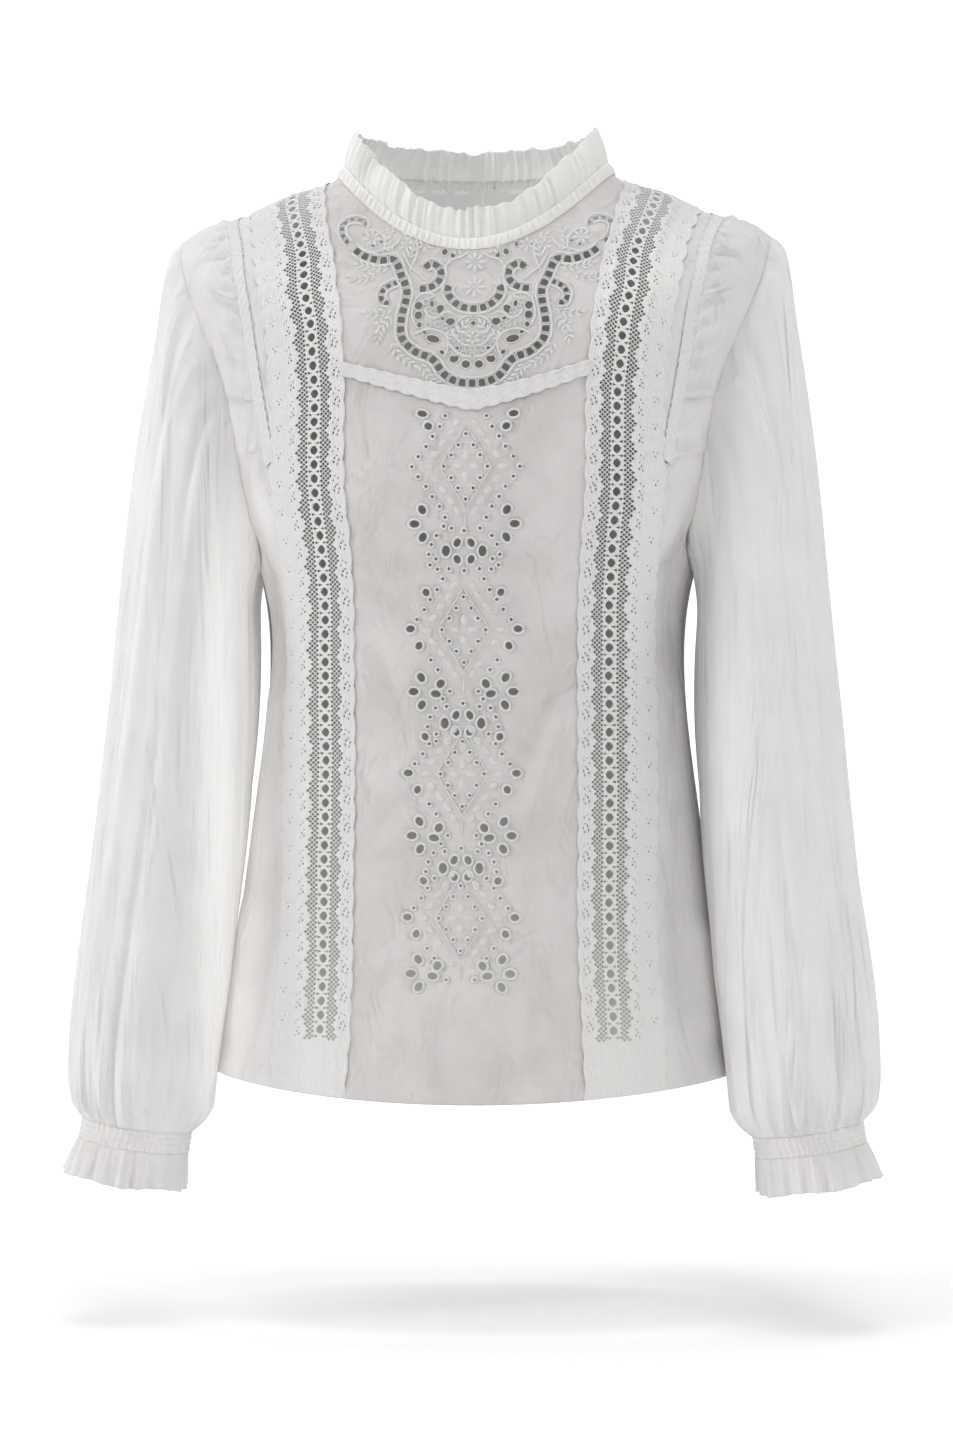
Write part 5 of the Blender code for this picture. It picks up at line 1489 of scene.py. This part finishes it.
def sleeve_rings(places, count, seam_gap=0.0):
    """Rings of points down the right sleeve; turn 0 is the front, 90 the outer edge."""
    rows = Spline(range(len(SLEEVE_ROWS)), SLEEVE_ROWS)
    turns = np.arange(count) * 2 * math.pi / count
    degrees = np.degrees(turns)
    front = (degrees < 90.0) | (degrees >= 270.0)
    local = np.where(degrees >= 270.0, degrees - 360.0, degrees)
    hole = np.where(front[:, None], armhole(np.where(front, local, 0), True),
                    armhole(np.where(front, 0, 180.0 - degrees), False))
    seam = body_point(hole) + body_normal(hole) * seam_gap
    rings = []
    first = None
    for place in places:
        outer_x, outer_z, inner_x, inner_z, y, depth = rows(place)[0]
        centre = np.array(((outer_x + inner_x) / 2, y, (outer_z + inner_z) / 2))
        to_outer = np.array(((outer_x - inner_x) / 2, 0.0, (outer_z - inner_z) / 2))
        ring = centre + np.outer(np.sin(turns), to_outer)
        ring[:, 1] -= depth * np.cos(turns)
        first = ring if first is None else first
        fade = max(0.0, 1 - place / CAP_FADE) ** 2
        rings.append(ring + (seam - first) * fade)
    return np.array(rings), turns


def outward(rings):
    """Unit directions away from each ring's middle."""
    away = rings - rings.mean(axis=1, keepdims=True)
    return away / np.linalg.norm(away, axis=2, keepdims=True)


def gather_wave(turns, places, start, last, number, phase, flip):
    """Gathers that rise from the cuff, uneven in height and depth."""
    t = turns[None]
    p = places[:, None]
    uneven = 0.5 + 0.5 * np.sin(t * 5 + phase)
    reach = start + (last - start) * 0.55 * uneven
    grow = np.clip((p - reach) / (last - reach), 0, 1) ** 1.5
    fine = np.sin(number * t + 1.4 * np.sin(3 * t + phase))
    finer = 0.4 * np.sin(number * 1.9 * t * flip + 2.0 * np.sin(2 * t))
    return grow * (fine + finer)


def sleeve(side):
    """One bishop sleeve: its long folds, its gathers at the cuff, and its first ring tucked in."""
    sign = -1 if side == "left" else 1
    last = len(SLEEVE_ROWS) - 1.0
    places = np.linspace(0.0, last, SLEEVE_STEPS)
    rings, turns = sleeve_rings(places, SLEEVE_COUNT, SEAM_LIFT)
    away = outward(rings)
    grown = (np.sin(math.pi * places / last) ** 2)[:, None]
    wave = sum(depth * np.cos(k * turns + phase) for k, depth, phase in SLEEVE_FOLDS) * grown
    wave = wave * (0.6 + 0.4 * np.sin(turns))
    drift = 9.0 if side == "left" else 0.0
    for turn, start, end, depth, width in SLEEVE_CREASES + CAP_CREASES:
        share = (places - start) / (end - start)
        taper = np.clip(1 - (2 * share - 1) ** 2, 0, 1)[:, None] ** 0.8
        bend = drift + 5.0 * np.sin(share * 2.2 + turn)[:, None]
        gap = (np.degrees(turns)[None] - turn - bend + 180.0) % 360.0 - 180.0
        inner_side = 0.6 + 0.4 * np.sin(turns)
        across = np.exp(-((gap / (0.55 * width)) ** 2))
        wave = wave + SLEEVE_CREASE_SCALE * depth * taper * inner_side * across
    gathers = gather_wave(turns, places, 5.8, last, 26, 0.5 + drift, 1)
    wave = wave + 3.0 * gathers * (0.7 + 0.3 * np.sin(turns))
    close = np.clip((places - (last - 0.5)) / 0.5, 0, 1)[:, None]
    wave = wave * (1 - 0.75 * close)
    cap = np.clip(1 - places / 1.3, 0, 1)[:, None] ** 1.5
    wave = wave + 0.8 * cap * np.sin(34 * turns + 1.5 * np.sin(4 * turns))
    hold = np.clip(places / 0.25, 0, 1)[:, None]
    near_body = NEAR_BODY * np.clip((places - 5.0) / 2.5, 0, 1) * np.clip((last - places) / 1.2, 0, 1)
    rings = rings + away * (wave * hold)[:, :, None]
    rings[:, :, 0] -= near_body[:, None] * np.clip(-np.sin(turns), 0, 1) ** 2
    tuck = rings[0] - away[0] * (0.6, 0.25, 0.6) * 1.2 - np.array((TUCK_DEPTH, 0.0, 0.0))
    rings = np.concatenate((tuck[None], rings))
    rings[:, :, 0] *= sign
    points, faces, uv = ring_tube(rings)
    cloth = add_mesh(f"sleeve_{side}_cloth", points, faces, "sleeve", uv, "lawn", flip=side == "left")
    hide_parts(f"sleeve_{side}")


def cuff_rings(points):
    """A cuff ring at a distance down from the sleeve's end, with its own flare and wave."""
    last = len(SLEEVE_ROWS) - 1.0
    edge, turns = sleeve_rings((0.0, last), points)
    ring = edge[1]
    centre = ring.mean(axis=0)
    outer, inner = ring[points // 4], ring[3 * points // 4]
    slant = (outer - inner) / np.linalg.norm(outer - inner)
    axis = np.array((slant[2], 0.0, -slant[0]))
    away = ring - centre
    length = np.linalg.norm(away, axis=1)[:, None]
    away = away / length

    def at(down, radial):
        return centre + away * (length + np.broadcast_to(radial, turns.shape)[:, None]) + axis * down
    return at, turns


def cuffs(side):
    """One shirred cuff band and its wrist ruffle."""
    sign = -1 if side == "left" else 1
    shift = 1.7 if side == "left" else 0.0
    at, turns = cuff_rings(CUFF_COUNT)
    rings = []
    for share in np.linspace(0.0, 1.0, CUFF_STEPS):
        rows = 0.55 * np.abs(np.sin(4 * math.pi * share))
        fine = np.sin(58 * turns + 2.2 * np.sin(5 * turns + shift) + 1.2 * math.sin(6 * share))
        rings.append(at(-0.6 + (BAND_LENGTH + 1.2) * share, -0.6 + rows + 0.42 * fine * (0.4 + rows)))
    rings = np.array(rings) * (sign, 1, 1)
    points, faces, uv = ring_tube(rings)
    band = add_mesh(f"cuff_band_{side}_cloth", points, faces, "cuff", uv, "lawn", flip=sign < 0)
    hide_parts(f"cuff_band_{side}")

    start = 2 * GAP + BAND_LENGTH - 0.4
    rings = []
    for share in np.linspace(0.0, 1.0, CUFF_STEPS):
        grow = 0.5 + 1.7 * share
        main = np.cos(CUFF_GATHERS * turns + 0.8 * np.sin(3 * turns + shift))
        fine = 0.45 * np.cos(43 * turns + 1.6 * np.sin(4 * turns)) * (1 - 0.5 * share)
        tiny = 0.35 * np.cos(66 * turns + shift) * (1 - share) ** 2
        uneven = 0.75 + 0.25 * np.sin(7 * turns + shift + 1.0)
        flare = RUFFLE_FLARE * (0.62 + 0.38 * np.sin(turns)) * share**0.8
        radial = flare - 0.6 + grow * (main + fine + tiny) * uneven
        roll = 0.5 * math.exp(-(((1.0 - share) / 0.03) ** 2))
        drop = 0.9 * np.sin(5 * turns + shift) * share
        rings.append(at(start + RUFFLE_LENGTH * share, radial + roll) + down_by(drop))
    rings = np.array(rings) * (sign, 1, 1)
    points, faces, uv = ring_tube(rings)
    ruffle = add_mesh(f"cuff_ruffle_{side}_cloth", points, faces, "cuff", uv, "ruffle", flip=sign < 0)
    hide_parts(f"cuff_ruffle_{side}")


def down_by(drop):
    """Moves straight down by these distances."""
    return np.column_stack((np.zeros(len(drop)), np.zeros(len(drop)), -drop))


# Neck


def neck_pieces():
    """The ribbed neck binding and the gathered collar ruffle, both open at the slit."""
    half = math.pi - SLIT_HALF / BODY_ROWS[ROW_NECK][5]
    angles = np.linspace(-half, half, BINDING_COUNT)
    low, high = UP_NECK - 0.6, UP_BINDING + 0.4
    rings = []
    for share in np.linspace(0.0, 1.0, BINDING_STEPS):
        flat = np.column_stack((angles, np.full(len(angles), low + (high - low) * share)))
        base, normal = body_point(flat), body_normal(flat)
        swell = 0.9 * math.sin(math.pi * share) ** 0.6
        ribs = 0.5 * np.sin(138 * angles + 1.6 * np.sin(5 * angles) + 0.8 * share)
        ribs = ribs + 0.3 * np.sin(223 * angles + 2.0 * np.sin(7 * angles))
        rings.append(base + normal * (0.5 + swell + ribs * math.sin(math.pi * share))[:, None])
    points, faces, uv = ring_tube(rings, closed=False, thick=1.0)
    binding = add_mesh("neck_binding_cloth", points, faces, "ruffle", uv, "lace")
    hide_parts("neck_binding")

    angles = np.linspace(-half, half, COLLAR_COUNT)
    base_row = np.array(BODY_ROWS[-1], float)
    top_row = np.array(COLLAR_TOP, float)
    out = section_point(angles, np.tile(base_row, (len(angles), 1))) * (1, 1, 0)
    out /= np.linalg.norm(out, axis=1)[:, None]
    w = COLLAR_WAVES
    rings = []
    for share in np.linspace(0.0, 1.0, COLLAR_STEPS):
        row = base_row + (top_row - base_row) * share
        ring = section_point(angles, np.tile(row, (len(angles), 1)))
        bow = 1.3 * math.sin(math.pi * share)
        tall = 0.8 * np.sin(9 * angles + 1.0) + 0.6 * np.sin(17 * angles) + 0.6 * np.sin(31 * angles)
        tall = tall + 0.55 * np.cos(w * angles + 2.6 * np.sin(5 * angles) + 1.7 * np.sin(13 * angles))
        ring[:, 2] += GAP * (1 - share) - 0.4 + tall * share**2
        uneven = 0.7 + 0.3 * np.sin(11 * angles + 0.5)
        main = np.cos(w * angles + 2.6 * np.sin(5 * angles) + 1.7 * np.sin(13 * angles + 0.3 * share))
        fine = 0.55 * np.cos(1.7 * w * angles + 2.9 * np.sin(3 * angles) + 1.2 * share)
        crisp = 0.3 * np.cos(2.9 * w * angles + 3.1 * np.sin(7 * angles)) * (1 - share)
        depth = 0.7 + 1.35 * share
        rings.append(ring + out * (bow + depth * uneven * (main + fine + crisp) * 0.85)[:, None])
    points, faces, uv = ring_tube(rings, closed=False, thick=0.5)
    collar = add_mesh("collar_ruffle_cloth", points, faces, "ruffle", uv, "ruffle")
    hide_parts("collar_ruffle")


def closing():
    """Materials of the button and thread loop at the centre back, on the solids themselves."""
    for node, kind in (("back_button", "button"), ("back_loop", "satin")):
        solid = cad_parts[node]
        solid.data.materials.clear()
        solid.data.materials.append(MATERIALS[kind])


# Stage, lights and camera

# Floor height, the camera's turn round the blouse, distance and height, and the height it shows
FLOOR_Z = -0.742
CAMERA_TURN = math.radians(4)
CAMERA_AWAY = 2.4
CAMERA_Z = -0.35
VIEW_HEIGHT = 0.943
SENSOR_HEIGHT = 24.0
# The floor's half width, front edge, where it curves up and how widely, and the wall's top
FLOOR_HALF = 6.0
FLOOR_FRONT = -4.0
FLOOR_BACK = 2.6
WALL_BEND = 1.2
WALL_TOP = 4.5
# Its own light on the floor and at the wall, and the stretch between them
FLOOR_GLOW = 0.15
WALL_GLOW = 0.56
GLOW_STRETCH = (0.5, 2.2)


def stage():
    """A pale floor that curves up into a pale wall, brighter towards the wall."""
    profile = [(FLOOR_FRONT, FLOOR_Z), (FLOOR_BACK, FLOOR_Z)]
    for t in np.radians(np.linspace(5, 90, 18)):
        profile.append((FLOOR_BACK + WALL_BEND * math.sin(t), FLOOR_Z + WALL_BEND * (1 - math.cos(t))))
    profile.append((FLOOR_BACK + WALL_BEND, WALL_TOP))
    points = [(x, y, z) for y, z in profile for x in (-FLOOR_HALF, FLOOR_HALF)]
    faces = [(2 * i, 2 * i + 1, 2 * i + 3, 2 * i + 2) for i in range(len(profile) - 1)]
    mesh = bpy.data.meshes.new("floor")
    mesh.from_pydata(points, [], faces)
    mesh.shade_smooth()
    made = bpy.data.materials.new("pale_floor")
    made.use_nodes = True
    tree = made.node_tree
    shader = tree.nodes["Principled BSDF"]
    shader.inputs["Base Color"].default_value = (0.9, 0.9, 0.9, 1.0)
    shader.inputs["Roughness"].default_value = 0.9
    shader.inputs["Emission Color"].default_value = (1.0, 1.0, 1.0, 1.0)
    glow = mapped(tree, place_axes(tree)["Y"], *GLOW_STRETCH, FLOOR_GLOW, WALL_GLOW)
    tree.links.new(glow, shader.inputs["Emission Strength"])
    mesh.materials.append(made)
    floor = bpy.data.objects.new("floor", mesh)
    bpy.context.scene.collection.objects.link(floor)


WORLD_STRENGTH = 0.26
# Soft boxes: place, size in metres, power in watts
LIGHTS = (
    ("left_light", (-2.8, -1.0, 1.0), 1.2, 40.0),
    ("front_light", (0.9, -3.0, 2.0), 1.6, 27.0),
    ("top_light", (0.0, -0.1, 2.4), 1.2, 28.0),
    ("back_light", (-2.2, 1.2, 0.6), 1.6, 9.0),
    ("right_light", (2.8, -0.9, 0.4), 1.4, 17.0),
)


def lights():
    """An even pale surround and the soft boxes, all aimed at the blouse's middle."""
    world = bpy.data.worlds.new("soft_studio")
    world.use_nodes = True
    ground = world.node_tree.nodes["Background"]
    ground.inputs[0].default_value = (1.0, 1.0, 1.0, 1.0)
    ground.inputs[1].default_value = WORLD_STRENGTH
    bpy.context.scene.world = world
    for name, place, size, power in LIGHTS:
        data = bpy.data.lights.new(name, "AREA")
        data.shape = "SQUARE"
        data.size = size
        data.energy = power
        lamp = bpy.data.objects.new(name, data)
        lamp.location = place
        aim = Vector((0.0, 0.0, CAMERA_Z)) - Vector(place)
        lamp.rotation_euler = aim.to_track_quat("-Z", "Y").to_euler()
        bpy.context.scene.collection.objects.link(lamp)


def camera():
    """The photograph's view: from the front, a little to the viewer's right."""
    data = bpy.data.cameras.new("camera")
    data.sensor_fit = "VERTICAL"
    data.sensor_height = SENSOR_HEIGHT
    data.lens = data.sensor_height * CAMERA_AWAY / VIEW_HEIGHT
    data.clip_end = 50.0
    seen = bpy.data.objects.new("camera", data)
    turn = CAMERA_TURN
    seen.location = (CAMERA_AWAY * math.sin(turn), -CAMERA_AWAY * math.cos(turn), CAMERA_Z)
    seen.rotation_euler = (math.pi / 2, 0.0, CAMERA_TURN)
    bpy.context.scene.collection.objects.link(seen)
    bpy.context.scene.camera = seen
    bpy.context.scene.view_settings.view_transform = "Standard"


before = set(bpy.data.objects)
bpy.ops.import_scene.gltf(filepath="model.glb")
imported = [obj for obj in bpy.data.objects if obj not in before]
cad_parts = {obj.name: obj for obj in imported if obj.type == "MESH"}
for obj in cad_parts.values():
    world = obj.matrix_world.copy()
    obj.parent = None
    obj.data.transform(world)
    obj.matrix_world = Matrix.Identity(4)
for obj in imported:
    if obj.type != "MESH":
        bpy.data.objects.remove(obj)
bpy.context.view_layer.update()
MATERIALS.update(make_materials())
camera()
stage()
lights()
front_centre()
front_yoke()
yoke_trim()
for side in ("left", "right"):
    lace_insert(side)
    side_pieces(side)
    sleeve(side)
    cuffs(side)
back_panel()
neck_pieces()
closing()
